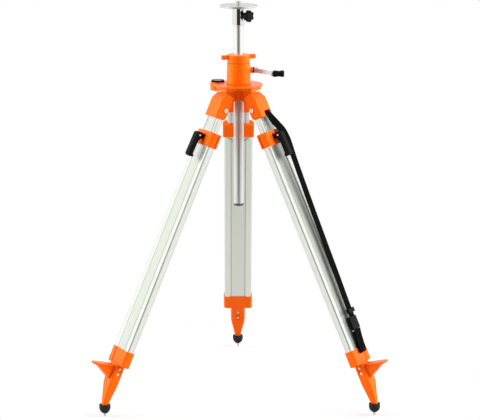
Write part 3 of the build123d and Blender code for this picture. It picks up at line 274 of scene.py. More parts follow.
VIAL_RADIUS = 0.014
VIAL_RINGS = [
    (0.0, (0.20, 0.26, 0.10)), (0.245, (0.24, 0.30, 0.13)), (0.26, (0.03, 0.05, 0.008)),
    (0.28, (0.05, 0.075, 0.015)), (0.44, (0.045, 0.07, 0.013)), (0.45, (0.004, 0.004, 0.004)),
    (0.49, (0.004, 0.004, 0.004)), (0.50, (0.035, 0.055, 0.01)),
]


def colour_ramp(tree, stops):
    """A colour ramp through stops, each a place from 0 to 1 and its colour."""
    made = put(tree, "ShaderNodeValToRGB")
    while len(made.color_ramp.elements) < len(stops):
        made.color_ramp.elements.new(1.0)
    for stop, (place, colour) in zip(made.color_ramp.elements, stops):
        stop.position = place
        stop.color = (*colour, 1)
    return made


level_low, level_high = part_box("level_glass")
level_middle = (level_low + level_high) / 2
vial = finish("level_vial", {
    "Roughness": 0.04, "IOR": 1.45, "Transmission Weight": 0.2, "Coat Weight": 0.6, "Coat Roughness": 0.02,
})
tree = vial.node_tree
from_middle = (-level_middle.x, -level_middle.y, 0)
flat_place = put(tree, "ShaderNodeMapping", {"Location": from_middle, "Scale": (1, 1, 0)})
reach = put(tree, "ShaderNodeVectorMath", operation="LENGTH")
share = put(tree, "ShaderNodeMath", {1: VIAL_RADIUS}, operation="DIVIDE")
rings = colour_ramp(tree, VIAL_RINGS)
join(tree, (place_of(vial), flat_place.inputs[0]), (flat_place.outputs[0], reach.inputs[0]))
join(tree, (reach.outputs["Value"], share.inputs[0]), (share.outputs[0], rings.inputs[0]))
join(tree, (rings.outputs[0], tree.nodes["Principled BSDF"].inputs["Base Color"]))
dress(vial, "level_glass")

# Gear housing and column clamp ring: more orange castings, the ring threaded on the housing's neck.
# The housing takes the crank's shaft in a boss, and the ring's two wings are turned by hand to lock the mast.
dress(gloss_enamel, "gear_housing", "column_clamp_ring")

# Shaft seal: a black rubber lip ring on the crank shaft, between the housing's boss and the crank's eye.
# It is turned from a ring profile with a rounded outer edge.
SEAL_X = (0.0462, 0.0503)
SEAL_RADII = (0.0043, 0.0098)
SEAL_ROUND = 0.0016
SEAL_AROUND = 64
SEAL_BENDS = 6
shaft_low, shaft_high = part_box("crank_shaft")
shaft_middle = (shaft_low + shaft_high) / 2


def lathe_mesh(name, rings):
    """A closed skin through rings of points, capped at both ends with fans."""
    verts = [point for ring in rings for point in ring]
    around = len(rings[0])
    faces = []
    for row in range(len(rings) - 1):
        for i in range(around):
            a = row * around + i
            b = row * around + (i + 1) % around
            faces.append((a, b, b + around, a + around))
    for row, turn in ((0, -1), (len(rings) - 1, 1)):
        ring = rings[row]
        verts.append(tuple(sum((Vector(p) for p in ring), Vector()) / around))
        tip = len(verts) - 1
        for i in range(around):
            edge = (row * around + i, row * around + (i + 1) % around)
            faces.append((*edge[::turn], tip))
    mesh = bpy.data.meshes.new(name)
    mesh.from_pydata(verts, [], faces)
    mesh.shade_smooth()
    return mesh


def add_piece(name, mesh, material, body):
    """A finished mesh as a piece of the object that moves with one body."""
    piece = bpy.data.objects.new(name, mesh)
    mesh.materials.clear()
    mesh.materials.append(material)
    scene.collection.objects.link(piece)
    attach(piece, body)
    return piece


black_rubber = finish("black_rubber", {"Specular IOR Level": 0.2})
relief(black_rubber, scale=1100.0, detail=6.0, rough=(0.55, 0.78), bump=(0.3, 0.0004))
two_tone(black_rubber, scale=55.0, first=(0.007, 0.007, 0.007), second=(0.014, 0.014, 0.013))
seal_profile = [(SEAL_X[0], SEAL_RADII[0])]
for corner, start in ((SEAL_X[0] + SEAL_ROUND, math.pi), (SEAL_X[1] - SEAL_ROUND, math.pi / 2)):
    for bend in range(SEAL_BENDS + 1):
        angle = start - math.pi / 2 * bend / SEAL_BENDS
        out_from = SEAL_RADII[1] - SEAL_ROUND
        seal_profile.append((corner + SEAL_ROUND * math.cos(angle), out_from + SEAL_ROUND * math.sin(angle)))
seal_profile.append((SEAL_X[1], SEAL_RADII[0]))
seal_rings = []
for along, radius in seal_profile:
    ring = ring_at(radius, along, SEAL_AROUND)
    seal_rings.append([(x, shaft_middle.y + y, shaft_middle.z + z) for y, z, x in ring])
add_piece("shaft_seal", lathe_mesh("shaft_seal", seal_rings), black_rubber, "hub")

# Pinion, rack and crank shaft: plain machined steel, zinc plated, with faint tool marks.
# The pinion is pinned on the shaft and runs in the housing, in mesh with the rack on the mast's back.
zinc = finish("zinc_plate", {"Metallic": 1.0})
relief(zinc, scale=700.0, detail=5.0, rough=(0.26, 0.42), bump=(0.10, 0.0003))
two_tone(zinc, scale=40.0, first=(0.60, 0.61, 0.62), second=(0.70, 0.71, 0.71))
dress(zinc, "drive_pinion", "mast_rack", "crank_shaft")

# Crank arm: a strip of aluminium bent outwards, with the grip's spindle riveted in its end.
# Its faces are tumbled to a fine pale satin.
satin_aluminium = finish("satin_aluminium", {"Metallic": 0.1, "Specular IOR Level": 0.1})
relief(satin_aluminium, scale=800.0, detail=5.0, rough=(0.40, 0.52), bump=(0.10, 0.0003))
# The cool grey-green base is painted to cancel the orange light that the housing bounces onto the arm.
two_tone(satin_aluminium, scale=50.0, first=(0.50, 0.59, 0.59), second=(0.55, 0.64, 0.64))
dress(satin_aluminium, "crank_arm")

# Crank grip: a waisted handle moulded in black plastic, free to turn on the arm's spindle.
# It has the same fine moulded grain as the other black plastic pieces.
dress(moulded_black, "crank_grip")

# Mast: a drawn steel tube, ground to a soft polish and slotted down its back for the rack.
# Fine grinding lines run round it, and a dark grey moulded plug closes its lower end.
polished = finish("polished_tube", {
    "Metallic": 1.0, "Base Color": (0.78, 0.79, 0.76, 1), "Specular Tint": (0.60, 0.61, 0.58, 1),
})
tree = polished.node_tree
shader = tree.nodes["Principled BSDF"]
round_lines = put(tree, "ShaderNodeMapping", {"Scale": (6, 6, 900)})
grind = put(tree, "ShaderNodeTexNoise", {"Scale": 1.0, "Detail": 4.0})
gloss = put(tree, "ShaderNodeMapRange", {"To Min": 0.33, "To Max": 0.41})
lines = put(tree, "ShaderNodeBump", {"Strength": 0.06, "Distance": 0.0002})
join(tree, (place_of(polished), round_lines.inputs[0]), (round_lines.outputs[0], grind.inputs["Vector"]))
join(tree, (grind.outputs[0], gloss.inputs[0]), (gloss.outputs[0], shader.inputs["Roughness"]))
join(tree, (grind.outputs[0], lines.inputs["Height"]), (lines.outputs[0], shader.inputs["Normal"]))
dress(polished, "mast_tube")
moulded_grey = finish("moulded_grey", {"IOR": 1.46, "Specular IOR Level": 0.2})
relief(moulded_grey, scale=1500.0, detail=5.0, rough=(0.4, 0.55), bump=(0.2, 0.00025))
two_tone(moulded_grey, scale=70.0, first=(0.09, 0.095, 0.085), second=(0.13, 0.135, 0.12))
dress(moulded_grey, "mast_end_plug")

# Head sleeve: a short mirror-polished cap that turns on the mast's top end, brighter than the mast itself.
# Faint buffing marks are left on it.
bright = finish("bright_sleeve", {"Metallic": 1.0, "Base Color": (0.84, 0.84, 0.83, 1)})
relief(bright, scale=300.0, detail=3.0, rough=(0.03, 0.07), bump=(0.02, 0.0002))
dress(bright, "head_sleeve")

# Head plate: a turned aluminium table, with the lathe's rings still on its top face.
# The cut rings catch the light a little differently from one to the next.
turned = finish("turned_plate", {"Metallic": 0.9, "Base Color": (0.59, 0.60, 0.575, 1)})
tree = turned.node_tree
shader = tree.nodes["Principled BSDF"]
lathe = put(tree, "ShaderNodeTexWave", {"Scale": 190.0, "Distortion": 0.6, "Detail": 2.0}, wave_type="RINGS",
            rings_direction="Z")
gloss = put(tree, "ShaderNodeMapRange", {"To Min": 0.26, "To Max": 0.40})
lines = put(tree, "ShaderNodeBump", {"Strength": 0.10, "Distance": 0.0002})
join(tree, (place_of(turned), lathe.inputs["Vector"]), (lathe.outputs[1], gloss.inputs[0]))
join(tree, (gloss.outputs[0], shader.inputs["Roughness"]), (lathe.outputs[1], lines.inputs["Height"]))
join(tree, (lines.outputs[0], shader.inputs["Normal"]))
dress(turned, "head_plate")

# Instrument stud: 5/8 inch thread, 11 to the inch, cut on a steel post that is pressed through the plate.
# The thread is one helix that runs out in the chamfer at the tip.
STUD_R = 0.0079375
STUD_PITCH = 0.0254 / 11
STUD_DEPTH = 0.00115
STUD_GROOVE = 0.42
STUD_SHANK_R = 0.0085
STUD_THREAD = 0.013
STUD_CHAMFER = 0.0015
STUD_AROUND = 72
STUD_STEP = 0.00012
stud_low, stud_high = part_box("instrument_stud")
stud_foot = stud_low.z
stud_tip = stud_high.z
stud_base = stud_tip - STUD_THREAD
stud_rings = []
for height in (stud_foot, stud_base):
    stud_rings.append(ring_at(STUD_SHANK_R, height, STUD_AROUND))
rows = int(STUD_THREAD / STUD_STEP)
for row in range(rows + 1):
    height = stud_base + STUD_THREAD * row / rows
    crest = STUD_R - max(0.0, height - (stud_tip - STUD_CHAMFER))
    ring = []
    for i in range(STUD_AROUND):
        turn = i / STUD_AROUND
        phase = ((height - stud_base) / STUD_PITCH - turn) % 1.0
        groove = STUD_DEPTH * max(0.0, 1 - abs(phase - 0.5) / STUD_GROOVE)
        radius = min(crest, STUD_R - groove)
        ring.append((radius * math.cos(2 * math.pi * turn), radius * math.sin(2 * math.pi * turn), height))
    stud_rings.append(ring)
stud = add_piece("threaded_stud", lathe_mesh("threaded_stud", stud_rings), zinc, "head")
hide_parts("instrument_stud")

# Head knob: a six-lobed star moulded in black round the end of a steel screw.
# The screw's tip bears on the mast inside the sleeve.
dress(moulded_black, "head_knob")
dress(zinc, "head_knob_screw")

# Hinge pins: steel tubes with rolled heads, one through each yoke and hub tongue.
# The heads are bright from turning in the castings.
pin_steel = finish("pin_steel", {"Metallic": 1.0})
relief(pin_steel, scale=600.0, detail=4.0, rough=(0.18, 0.30), bump=(0.06, 0.0002))
two_tone(pin_steel, scale=80.0, first=(0.74, 0.75, 0.75), second=(0.82, 0.82, 0.82))
dress(pin_steel, "hinge_pins")

# Leg yokes: forked orange castings, one hung on each hinge pin and plugged into the top of its leg.
# The enamel on the legs' castings is duller than the hub's from handling.
# A leg's own frame has X outward across the leg, Y along the hinge and Z up the leg, with the leg leaned out.
LEGS = {"left": 210.0, "right": 330.0, "rear": 90.0}
LEG_SPLAY = math.radians(25.2)
HINGE_PLACE = (0.0683, 0.9565)
HINGE_INSET = 0.0058


def leg_frame(leg):
    """From a leg's own frame to the tripod's."""
    out = HINGE_PLACE[0] + HINGE_INSET * math.cos(LEG_SPLAY)
    up = HINGE_PLACE[1] + HINGE_INSET * math.sin(LEG_SPLAY)
    lean = Matrix.Translation((out, 0, up)) @ Matrix.Rotation(-LEG_SPLAY, 4, "Y")
    return Matrix.Rotation(math.radians(LEGS[leg]), 4, "Z") @ lean


dull_enamel = orange_enamel("dull_enamel", specular=0.12, tint=(1.0, 0.72, 0.25), coat=0.06)
for leg in LEGS:
    dress(dull_enamel, f"{leg}_yoke")

# Yoke screws: plated cross-head screws that hold each inner profile on its yoke's spigot, two on each face.
# One node tree sets every small repeated fixing on its spots, each with the way it faces and the way it runs.
SCREW_HEAD_R = 0.0035
SCREW_AROUND = 48
SCREW_FACE = 0.010
SCREW_SIDE = 0.022
SCREW_DOWN = -0.047
SCREW_PROFILE = [(0.57, -2.0), (0.57, 0.0), (1.0, 0.0), (1.0, 0.2), (0.86, 0.4), (0.70, 0.46)]
SCREW_CROSS = [(0.64, 0.48), (0.62, 0.48), (0.48, 0.5), (0.34, 0.5), (0.22, 0.5), (0.12, 0.5)]
CROSS_HALF = 0.13
CROSS_DEPTH = 0.34
SCREW_SEED = 7


def fixing_nodes():
    """Node tree that sets one shape on points by their kept directions and makes it real."""
    tree = bpy.data.node_groups.new("fixings_on_spots", "GeometryNodeTree")
    kinds = {"Spots": "Geometry", "Fixing": "Object", "Size": "Float", "Finish": "Material"}
    for name, kind in kinds.items():
        tree.interface.new_socket(name, in_out="INPUT", socket_type=f"NodeSocket{kind}")
    tree.interface.new_socket("Fixings", in_out="OUTPUT", socket_type="NodeSocketGeometry")
    given = put(tree, "NodeGroupInput")
    facing = put(tree, "GeometryNodeInputNamedAttribute", {"Name": "facing"}, data_type="FLOAT_VECTOR")
    running = put(tree, "GeometryNodeInputNamedAttribute", {"Name": "running"}, data_type="FLOAT_VECTOR")
    turn = put(tree, "FunctionNodeAxesToRotation", primary_axis="Z", secondary_axis="X")
    shape = put(tree, "GeometryNodeObjectInfo")
    on_spots = put(tree, "GeometryNodeInstanceOnPoints")
    real = put(tree, "GeometryNodeRealizeInstances")
    coated = put(tree, "GeometryNodeSetMaterial")
    made = put(tree, "NodeGroupOutput")
    join(tree, (facing.outputs[0], turn.inputs[0]), (running.outputs[0], turn.inputs[1]))
    join(tree, (given.outputs["Fixing"], shape.inputs["Object"]))
    join(tree, (given.outputs["Spots"], on_spots.inputs["Points"]))
    join(tree, (turn.outputs[0], on_spots.inputs["Rotation"]))
    join(tree, (shape.outputs["Geometry"], on_spots.inputs["Instance"]))
    join(tree, (given.outputs["Size"], on_spots.inputs["Scale"]))
    join(tree, (on_spots.outputs[0], real.inputs[0]), (real.outputs[0], coated.inputs["Geometry"]))
    join(tree, (given.outputs["Finish"], coated.inputs["Material"]), (coated.outputs[0], made.inputs[0]))
    return tree


fixings = fixing_nodes()


def set_fixings(name, spots, shape, size, material):
    """One plain mesh of a shape set on spots, each a place, the way it faces and the way it runs."""
    points = bpy.data.meshes.new(name)
    points.from_pydata([spot[0] for spot in spots], [], [])
    for column, key in ((1, "facing"), (2, "running")):
        layer = points.attributes.new(key, "FLOAT_VECTOR", "POINT")
        for i, spot in enumerate(spots):
            layer.data[i].vector = spot[column]
    stamp = bpy.data.objects.new(f"{name}_stamp", shape)
    carrier = bpy.data.objects.new(f"{name}_spots", points)
    scene.collection.objects.link(stamp)
    scene.collection.objects.link(carrier)
    modifier = carrier.modifiers.new("fixings", "NODES")
    modifier.node_group = fixings
    values = {"Fixing": stamp, "Size": size, "Finish": material}
    for socket in fixings.interface.items_tree:
        if socket.in_out == "INPUT" and socket.name in values:
            modifier[socket.identifier] = values[socket.name]
    evaluated = carrier.evaluated_get(bpy.context.evaluated_depsgraph_get())
    made = bpy.data.meshes.new_from_object(evaluated)
    made.name = name
    carrier.modifiers.remove(modifier)
    bpy.data.objects.remove(carrier)
    bpy.data.objects.remove(stamp)
    return made


screw_rings = [ring_at(radius, height, SCREW_AROUND) for radius, height in SCREW_PROFILE]
for radius, height in SCREW_CROSS:
    ring = ring_at(radius, height, SCREW_AROUND)
    cut = CROSS_DEPTH if radius < SCREW_CROSS[0][0] else 0.0
    screw_rings.append([(x, y, z - cut if min(abs(x), abs(y)) < CROSS_HALF else z) for x, y, z in ring])
cross_screw = lathe_mesh("cross_screw", screw_rings)
screw_turns = random.Random(SCREW_SEED)
for leg in LEGS:
    at = leg_frame(leg)
    spots = []
    for face in (-1, 1):
        for side in (-1, 1):
            angle = screw_turns.uniform(0, math.pi)
            place = at @ Vector((face * SCREW_FACE, side * SCREW_SIDE, SCREW_DOWN))
            slot_way = Vector((0, math.cos(angle), math.sin(angle)))
            spots.append((place, at.to_3x3() @ Vector((face, 0, 0)), at.to_3x3() @ slot_way))
    screws = set_fixings(f"{leg}_cross_screws", spots, cross_screw, SCREW_HEAD_R, zinc)
    piece = add_piece(f"{leg}_cross_screws", screws, zinc, f"{leg}_upper")
    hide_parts(f"{leg}_yoke_screws")

# Leg profiles: two extruded aluminium sections, the upper one sliding inside the lower on a nylon block.
# The die leaves fine lines along them, under a clear satin anodised skin with a faint green cast.
# The web between the rails is painted a little darker, and a dark line is painted in the corner where it
# meets them, both as painted shade.
PROFILE_DARK = (0.66, 0.685, 0.625)
PROFILE_PALE = (0.76, 0.785, 0.725)
WEB_HALF = 0.0245
# Painted shade across the profile: each stop is a distance from the middle, as a share of the web's half
# width, with its grey.
WEB_PAINTED_SHADE = [(0.0, 0.92), (0.88, 0.92), (0.96, 0.55), (1.0, 0.45), (1.04, 0.80), (1.10, 1.0), (1.5, 1.0)]
WEB_REACH = WEB_PAINTED_SHADE[-1][0]
for leg in LEGS:
    anodised = finish(f"anodised_{leg}", {"Metallic": 0.94, "Specular Tint": (0.84, 0.85, 0.82, 1)})
    tree = anodised.node_tree
    shader = tree.nodes["Principled BSDF"]
    at = leg_frame(leg)
    along = put(tree, "ShaderNodeMapping", {"Location": at.to_translation(), "Rotation": at.to_euler()},
                vector_type="TEXTURE")
    stretch = put(tree, "ShaderNodeMapping", {"Scale": (900, 900, 7)})
    die = put(tree, "ShaderNodeTexNoise", {"Scale": 1.0, "Detail": 5.0})
    gloss = put(tree, "ShaderNodeMapRange", {"To Min": 0.26, "To Max": 0.40})
    lines = put(tree, "ShaderNodeBump", {"Strength": 0.16, "Distance": 0.0003})
    mix = colour_mix(tree, PROFILE_DARK, PROFILE_PALE)
    join(tree, (place_of(anodised), along.inputs[0]), (along.outputs[0], stretch.inputs[0]))
    join(tree, (stretch.outputs[0], die.inputs["Vector"]), (die.outputs[0], gloss.inputs[0]))
    join(tree, (gloss.outputs[0], shader.inputs["Roughness"]), (die.outputs[0], lines.inputs["Height"]))
    join(tree, (lines.outputs[0], shader.inputs["Normal"]), (die.outputs[0], mix.inputs[0]))
    split = put(tree, "ShaderNodeSeparateXYZ")
    across = put(tree, "ShaderNodeMath", operation="ABSOLUTE")
    share = put(tree, "ShaderNodeMath", {1: WEB_HALF * WEB_REACH}, operation="DIVIDE")
    shade = colour_ramp(tree, [(reach / WEB_REACH, (grey, grey, grey)) for reach, grey in WEB_PAINTED_SHADE])
    # The painted shade multiplies the profile's colour.
    tint = put(tree, "ShaderNodeMix", {0: 1.0}, data_type="RGBA", blend_type="MULTIPLY")
    join(tree, (along.outputs[0], split.inputs[0]), (split.outputs["Y"], across.inputs[0]))
    join(tree, (across.outputs[0], share.inputs[0]), (share.outputs[0], shade.inputs[0]))
    join(tree, (mix.outputs[COLOUR_OUT], tint.inputs[COLOUR_A]), (shade.outputs[0], tint.inputs[COLOUR_B]))
    join(tree, (tint.outputs[COLOUR_OUT], shader.inputs["Base Color"]))
    dress(anodised, f"{leg}_inner_profile", f"{leg}_outer_profile")
    dress(natural_nylon, f"{leg}_slide_block")

# Leg clamps: an orange collar on the outer profile's top, with a black pad and a black cam lever on a pin.
# Pulling the lever down against the leg presses the pad on the inner profile.
for leg in LEGS:
    dress(dull_enamel, f"{leg}_clamp_collar")
    dress(moulded_black, f"{leg}_clamp_pad", f"{leg}_clamp_lever")
    dress(pin_steel, f"{leg}_lever_pin")

# Shoes: orange castings on the outer profiles' lower ends, each with a treadle for the boot.
# Two domed aluminium rivets in each recess hold the shoe to its profile's insert.
RIVET_R = 0.0052
RIVET_AROUND = 32
RIVET_PROFILE = [
    (0.5, -0.6), (0.5, 0.0), (1.0, 0.0), (1.0, 0.1), (0.94, 0.24), (0.78, 0.38), (0.5, 0.49), (0.18, 0.54),
]
RECESS_FLANK = 0.021
RECESS_BACK = -0.011
FLANK_DOWN = (-0.8885, -0.9075)
BACK_DOWN = (-0.9003, -0.9267)
rivet = lathe_mesh("dome_rivet", [ring_at(radius, height, RIVET_AROUND) for radius, height in RIVET_PROFILE])
# The rivets' warm peach tone is a painted reflection of the orange enamel round them.
pale_rivet = finish("pale_rivet", {"Metallic": 0.3})
relief(pale_rivet, scale=900.0, detail=4.0, rough=(0.32, 0.45), bump=(0.08, 0.0002))
two_tone(pale_rivet, scale=90.0, first=(0.80, 0.66, 0.54), second=(0.88, 0.74, 0.62))
for leg in LEGS:
    at = leg_frame(leg)
    turn = at.to_3x3()
    spots = []
    faces = [
        ((0, -RECESS_FLANK), (0, -1, 0), FLANK_DOWN),
        ((0, RECESS_FLANK), (0, 1, 0), FLANK_DOWN),
        ((RECESS_BACK, 0), (-1, 0, 0), BACK_DOWN),
    ]
    for middle, way, heights in faces:
        for down in heights:
            spots.append((at @ Vector((*middle, down)), turn @ Vector(way), turn @ Vector((0, 0, 1))))
    rivets = set_fixings(f"{leg}_shoe_rivets", spots, rivet, RIVET_R, pale_rivet)
    add_piece(f"{leg}_shoe_rivets", rivets, pale_rivet, f"{leg}_lower")
    dress(dull_enamel, f"{leg}_shoe")

# Feet: a hardened steel spike in each shoe, with a black rubber dome screwed round it.
# The domes stand upright on the floor and are dusty in their grain.
for leg in LEGS:
    dress(black_rubber, f"{leg}_rubber_foot")
    dress(zinc, f"{leg}_spike")

# Carry strap: woven polyester webbing 34 mm wide, riveted to the right yoke and run down the leg's outside.
# It passes through a slider into a buckle; its top would pay out as the leg is drawn down, but here the band
# is built as one fixed mesh.
STRAP_ROUTE = [
    (21.4, 9.0, -14.0), (21.4, 9.5, -27.0), (24.3, 15.4, -48.0), (28.4, 23.0, -68.0), (33.8, 30.3, -90.0),
    (37.0, 31.6, -112.0), (38.3, 31.2, -135.0), (35.9, 30.3, -195.0), (30.3, 29.3, -331.0),
    (26.9, 27.0, -467.0), (25.6, 22.0, -604.0), (24.7, 19.0, -672.0), (24.0, 18.0, -727.0),
]
STRAP_WIDTH = 0.034
STRAP_THICK = 0.0022
STRAP_RIBS = 7
STRAP_TWIST = math.radians(12)
TWIST_SPAN = (-0.022, -0.060, -0.210)
BAND_ROWS = 22
BAND_COLUMNS = 26
BAND_RIB = 0.00012
BAND_EDGE = 0.35
BAND_CROWN = 10
MILLIMETRES = 1000  # in a metre
YARN_DARK = (0.0012, 0.0012, 0.0011)
YARN_PALE = (0.0055, 0.0055, 0.005)
WEAVE_PITCH = 1.5
WAVE_SCALE = 2 * math.pi / 20 / WEAVE_PITCH  # one wave of the texture to a pitch


def smooth_route(points):
    """Points in metres on a smooth line through the given millimetres in the leg's frame."""
    route = [Vector(p) / MILLIMETRES for p in points]
    ends = [route[0] * 2 - route[1], *route, route[-1] * 2 - route[-2]]
    line = []
    for i in range(1, len(ends) - 2):
        before, here, there, after = ends[i - 1:i + 3]
        for step in range(BAND_ROWS):
            s = step / BAND_ROWS
            bend = 2 * before - 5 * here + 4 * there - after
            sway = 3 * here - before - 3 * there + after
            line.append(0.5 * (2 * here + (there - before) * s + bend * s ** 2 + sway * s ** 3))
    line.append(route[-1])
    return line


def band_axes(line, i, twist):
    """The ways that a band runs, lies across and faces at one of its points."""
    ahead = (line[min(i + 1, len(line) - 1)] - line[max(i - 1, 0)]).normalized()
    across = (Vector((0, 1, 0)) - ahead * ahead.y).normalized()
    across.rotate(Matrix.Rotation(twist, 3, ahead))
    return ahead, across, ahead.cross(across)


def strap_twist(point):
    """How far the strap is turned about its own run, as it leaves the yoke to pass the clamp lever."""
    first, most, last = TWIST_SPAN
    share = (point.z - first) / (most - first) if point.z > most else (point.z - last) / (most - last)
    share = min(max(share, 0.0), 1.0)
    return STRAP_TWIST * share * share * (3 - 2 * share)


def webbing_mesh(name, line, width, ribs, place, twists):
    """A ribbed band along a line, turned as told at each point, with a UV map in millimetres of cloth."""
    rings = []
    run = [0.0]
    for i, point in enumerate(line):
        ahead, across, outward = band_axes(line, i, twists[i])
        if i:
            run.append(run[-1] + (point - line[i - 1]).length)
        ring = []
        for side in (1, -1):
            for c in range(BAND_COLUMNS):
                u = 0.5 - side * (c / (BAND_COLUMNS - 1) - 0.5)
                full = 1 - abs(2 * u - 1) ** BAND_CROWN
                lift = STRAP_THICK / 2 * (BAND_EDGE + (1 - BAND_EDGE) * full)
                lift += BAND_RIB * math.cos(2 * math.pi * ribs * u) * full
                ring.append(tuple(place @ (point + across * (u - 0.5) * width + outward * side * lift)))
        rings.append(ring)
    mesh = lathe_mesh(name, rings)
    cloth = mesh.uv_layers.new(name="cloth")
    around = 2 * BAND_COLUMNS
    for loop in mesh.loops:
        row, column = divmod(loop.vertex_index, around)
        turned_u = column % BAND_COLUMNS / (BAND_COLUMNS - 1)
        u = 1 - turned_u if column < BAND_COLUMNS else turned_u
        along = run[min(row, len(line) - 1)]
        cloth.data[loop.index].uv = (u * width * MILLIMETRES, along * MILLIMETRES)
    return mesh


webbing = finish("black_webbing", {"Sheen Weight": 0.004, "Sheen Roughness": 0.5, "Specular IOR Level": 0.01})
tree = webbing.node_tree
shader = tree.nodes["Principled BSDF"]
cloth_place = put(tree, "ShaderNodeUVMap", uv_map="cloth")
warp = put(tree, "ShaderNodeTexWave", {"Scale": WAVE_SCALE}, bands_direction="X")
weft = put(tree, "ShaderNodeTexWave", {"Scale": WAVE_SCALE}, bands_direction="Y")
over = put(tree, "ShaderNodeTexChecker", {"Scale": 1 / WEAVE_PITCH})
crossing = put(tree, "ShaderNodeMix")
yarn = colour_mix(tree, YARN_DARK, YARN_PALE)
gloss = put(tree, "ShaderNodeMapRange", {"To Min": 0.85, "To Max": 0.62})
weave = put(tree, "ShaderNodeBump", {"Strength": 0.5, "Distance": 0.0004})
for texture in (warp, weft, over):
    join(tree, (cloth_place.outputs[0], texture.inputs["Vector"]))
join(tree, (over.outputs[1], crossing.inputs[0]), (warp.outputs[1], crossing.inputs[MIX_A]))
join(tree, (weft.outputs[1], crossing.inputs[MIX_B]), (crossing.outputs[0], yarn.inputs[0]))
join(tree, (yarn.outputs[COLOUR_OUT], shader.inputs["Base Color"]), (crossing.outputs[0], gloss.inputs[0]))
join(tree, (gloss.outputs[0], shader.inputs["Roughness"]), (crossing.outputs[0], weave.inputs["Height"]))
join(tree, (weave.outputs[0], shader.inputs["Normal"]))
strap_leg = leg_frame("right")
strap_line = smooth_route(STRAP_ROUTE)
strap_twists = [strap_twist(point) for point in strap_line]
strap_mesh = webbing_mesh("strap_webbing", strap_line, STRAP_WIDTH, STRAP_RIBS, strap_leg, strap_twists)
strap_mesh.materials.append(webbing)
strap = bpy.data.objects.new("strap_webbing", strap_mesh)
scene.collection.objects.link(strap)
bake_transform(strap)
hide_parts("carry_strap")

# Strap slider: a black moulded bar with a slot, which sets the strap's length.
# The webbing runs through it just above the buckle.
dress(moulded_black, "strap_slider")

# Strap buckle: a black moulded clip with three grip ribs across its face.
# A bent steel wire in its lower end holds the tab.
RIB_HALF = 0.016
RIB_THIN = 0.075
RIB_AROUND = 16
RIB_FACE = 0.0268
RIB_SIDE = 0.017
RIB_DOWN = (-0.739, -0.747, -0.755)
WIRE_R = 0.0015
WIRE_SIZE = (0.0062, 0.050)
WIRE_ROUND = 0.0029
WIRE_PLACE = (0.0208, 0.0170, -0.7710)
WIRE_BENDS = 6
WIRE_BEVEL_STEPS = 4
CAPSULE_BENDS = 4


def capsule_mesh(name, thin, around):
    """A round bar along X from -1 to 1 with domed ends, as thick as the share says."""
    bends = [math.pi / 2 * i / CAPSULE_BENDS for i in range(CAPSULE_BENDS + 1)]
    ends = [(-1 + thin - thin * math.cos(b), thin * math.sin(b)) for b in bends[1:]]
    ends += [(1 - thin + thin * math.cos(b), thin * math.sin(b)) for b in bends[:0:-1]]
    return lathe_mesh(name, [[(x, y, z) for y, z, x in ring_at(r, end, around)] for end, r in ends])


dress(moulded_black, "strap_buckle")
strap_turn = strap_leg.to_3x3()
strap_out = strap_turn @ Vector((1, 0, 0))
strap_across = strap_turn @ Vector((0, 1, 0))
spots = [(strap_leg @ Vector((RIB_FACE, RIB_SIDE, down)), strap_out, strap_across) for down in RIB_DOWN]
grip_rib = capsule_mesh("grip_rib", RIB_THIN, RIB_AROUND)
ribs = set_fixings("buckle_ribs", spots, grip_rib, RIB_HALF, moulded_black)
add_piece("buckle_ribs", ribs, moulded_black, "right_lower")
wire_curve = bpy.data.curves.new("buckle_wire", "CURVE")
wire_curve.dimensions = "3D"
wire_curve.bevel_depth = WIRE_R
wire_curve.bevel_resolution = WIRE_BEVEL_STEPS
wire_line = wire_curve.splines.new("POLY")
wire_points = []
for corner in range(4):
    side_x = 1 if corner in (0, 3) else -1
    side_y = 1 if corner in (0, 1) else -1
    middle = Vector((side_x * (WIRE_SIZE[0] / 2 - WIRE_ROUND), side_y * (WIRE_SIZE[1] / 2 - WIRE_ROUND), 0))
    for bend in range(WIRE_BENDS + 1):
        angle = math.pi / 2 * (corner + bend / WIRE_BENDS)
        wire_points.append(middle + WIRE_ROUND * Vector((math.cos(angle), math.sin(angle), 0)))
wire_line.points.add(len(wire_points) - 1)
for point, place in zip(wire_line.points, wire_points):
    point.co = (*(strap_leg @ (Vector(WIRE_PLACE) + place)), 1)
wire_line.use_cyclic_u = True
wire_guide = bpy.data.objects.new("buckle_wire_guide", wire_curve)
scene.collection.objects.link(wire_guide)
wire_mesh = bpy.data.meshes.new_from_object(wire_guide.evaluated_get(bpy.context.evaluated_depsgraph_get()))
wire_mesh.name = "buckle_wire"
wire_mesh.shade_smooth()
bpy.data.objects.remove(wire_guide)
add_piece("buckle_wire", wire_mesh, pin_steel, "right_lower")

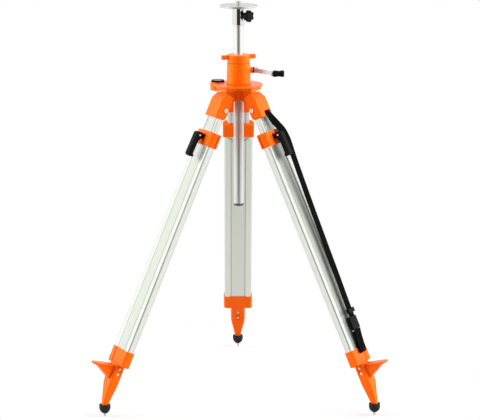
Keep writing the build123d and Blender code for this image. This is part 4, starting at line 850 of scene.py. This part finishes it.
# Strap tab: a short loop of wider webbing from the buckle's wire down to the shoe, folded and sewn on itself.
# Two rows of black thread close its edges, and a rivet holds it to the socket.
TAB_ROUTE = [
    (25.9, 15.5, -769.8), (22.9, 14.0, -795.0), (21.6, 12.0, -818.0), (21.6, 9.6, -842.0),
    (20.0, 9.4, -843.8), (18.4, 9.6, -842.0), (18.4, 12.0, -818.0), (18.9, 14.0, -795.0),
    (19.4, 15.5, -769.8),
]
TAB_WIDTH = 0.042
TAB_RIBS = 10
TAB_FRONT_SPANS = 3
STITCH_HALF = 0.0016
STITCH_THIN = 0.26
STITCH_ROW = 0.0165
STITCH_EVERY = 4
STITCH_LIFT = 0.00105
STITCH_AROUND = 8
STRAP_RIVET_R = 0.0052
STRAP_RIVET_SPOTS = {"right_upper": (0.0225, 0.0092, -0.0190), "right_lower": (0.0227, 0.0100, -0.8370)}
tab_line = smooth_route(TAB_ROUTE)
tab_mesh = webbing_mesh("tab_webbing", tab_line, TAB_WIDTH, TAB_RIBS, strap_leg, [0.0] * len(tab_line))
tab = add_piece("tab_webbing", tab_mesh, webbing, "right_lower")
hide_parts("strap_tab")
thread = finish("black_thread", {"Specular IOR Level": 0.2})
relief(thread, scale=2500.0, detail=3.0, rough=(0.5, 0.7), bump=(0.2, 0.0002))
two_tone(thread, scale=300.0, first=(0.010, 0.010, 0.0095), second=(0.024, 0.024, 0.022))
spots = []
for i in range(STITCH_EVERY, TAB_FRONT_SPANS * BAND_ROWS - STITCH_EVERY, STITCH_EVERY):
    ahead, across, outward = band_axes(tab_line, i, 0.0)
    for row in (-STITCH_ROW, STITCH_ROW):
        place = strap_leg @ (tab_line[i] + across * row + outward * STITCH_LIFT)
        spots.append((place, strap_turn @ outward, strap_turn @ ahead))
stitch = capsule_mesh("stitch", STITCH_THIN, STITCH_AROUND)
stitches = set_fixings("tab_stitches", spots, stitch, STITCH_HALF, thread)
add_piece("tab_stitches", stitches, thread, "right_lower")
for body, place in STRAP_RIVET_SPOTS.items():
    spot = (strap_leg @ Vector(place), strap_out, strap_across)
    mesh = set_fixings(f"{body}_strap_rivet", [spot], rivet, STRAP_RIVET_R, moulded_black)
    add_piece(f"{body}_strap_rivet", mesh, moulded_black, body)
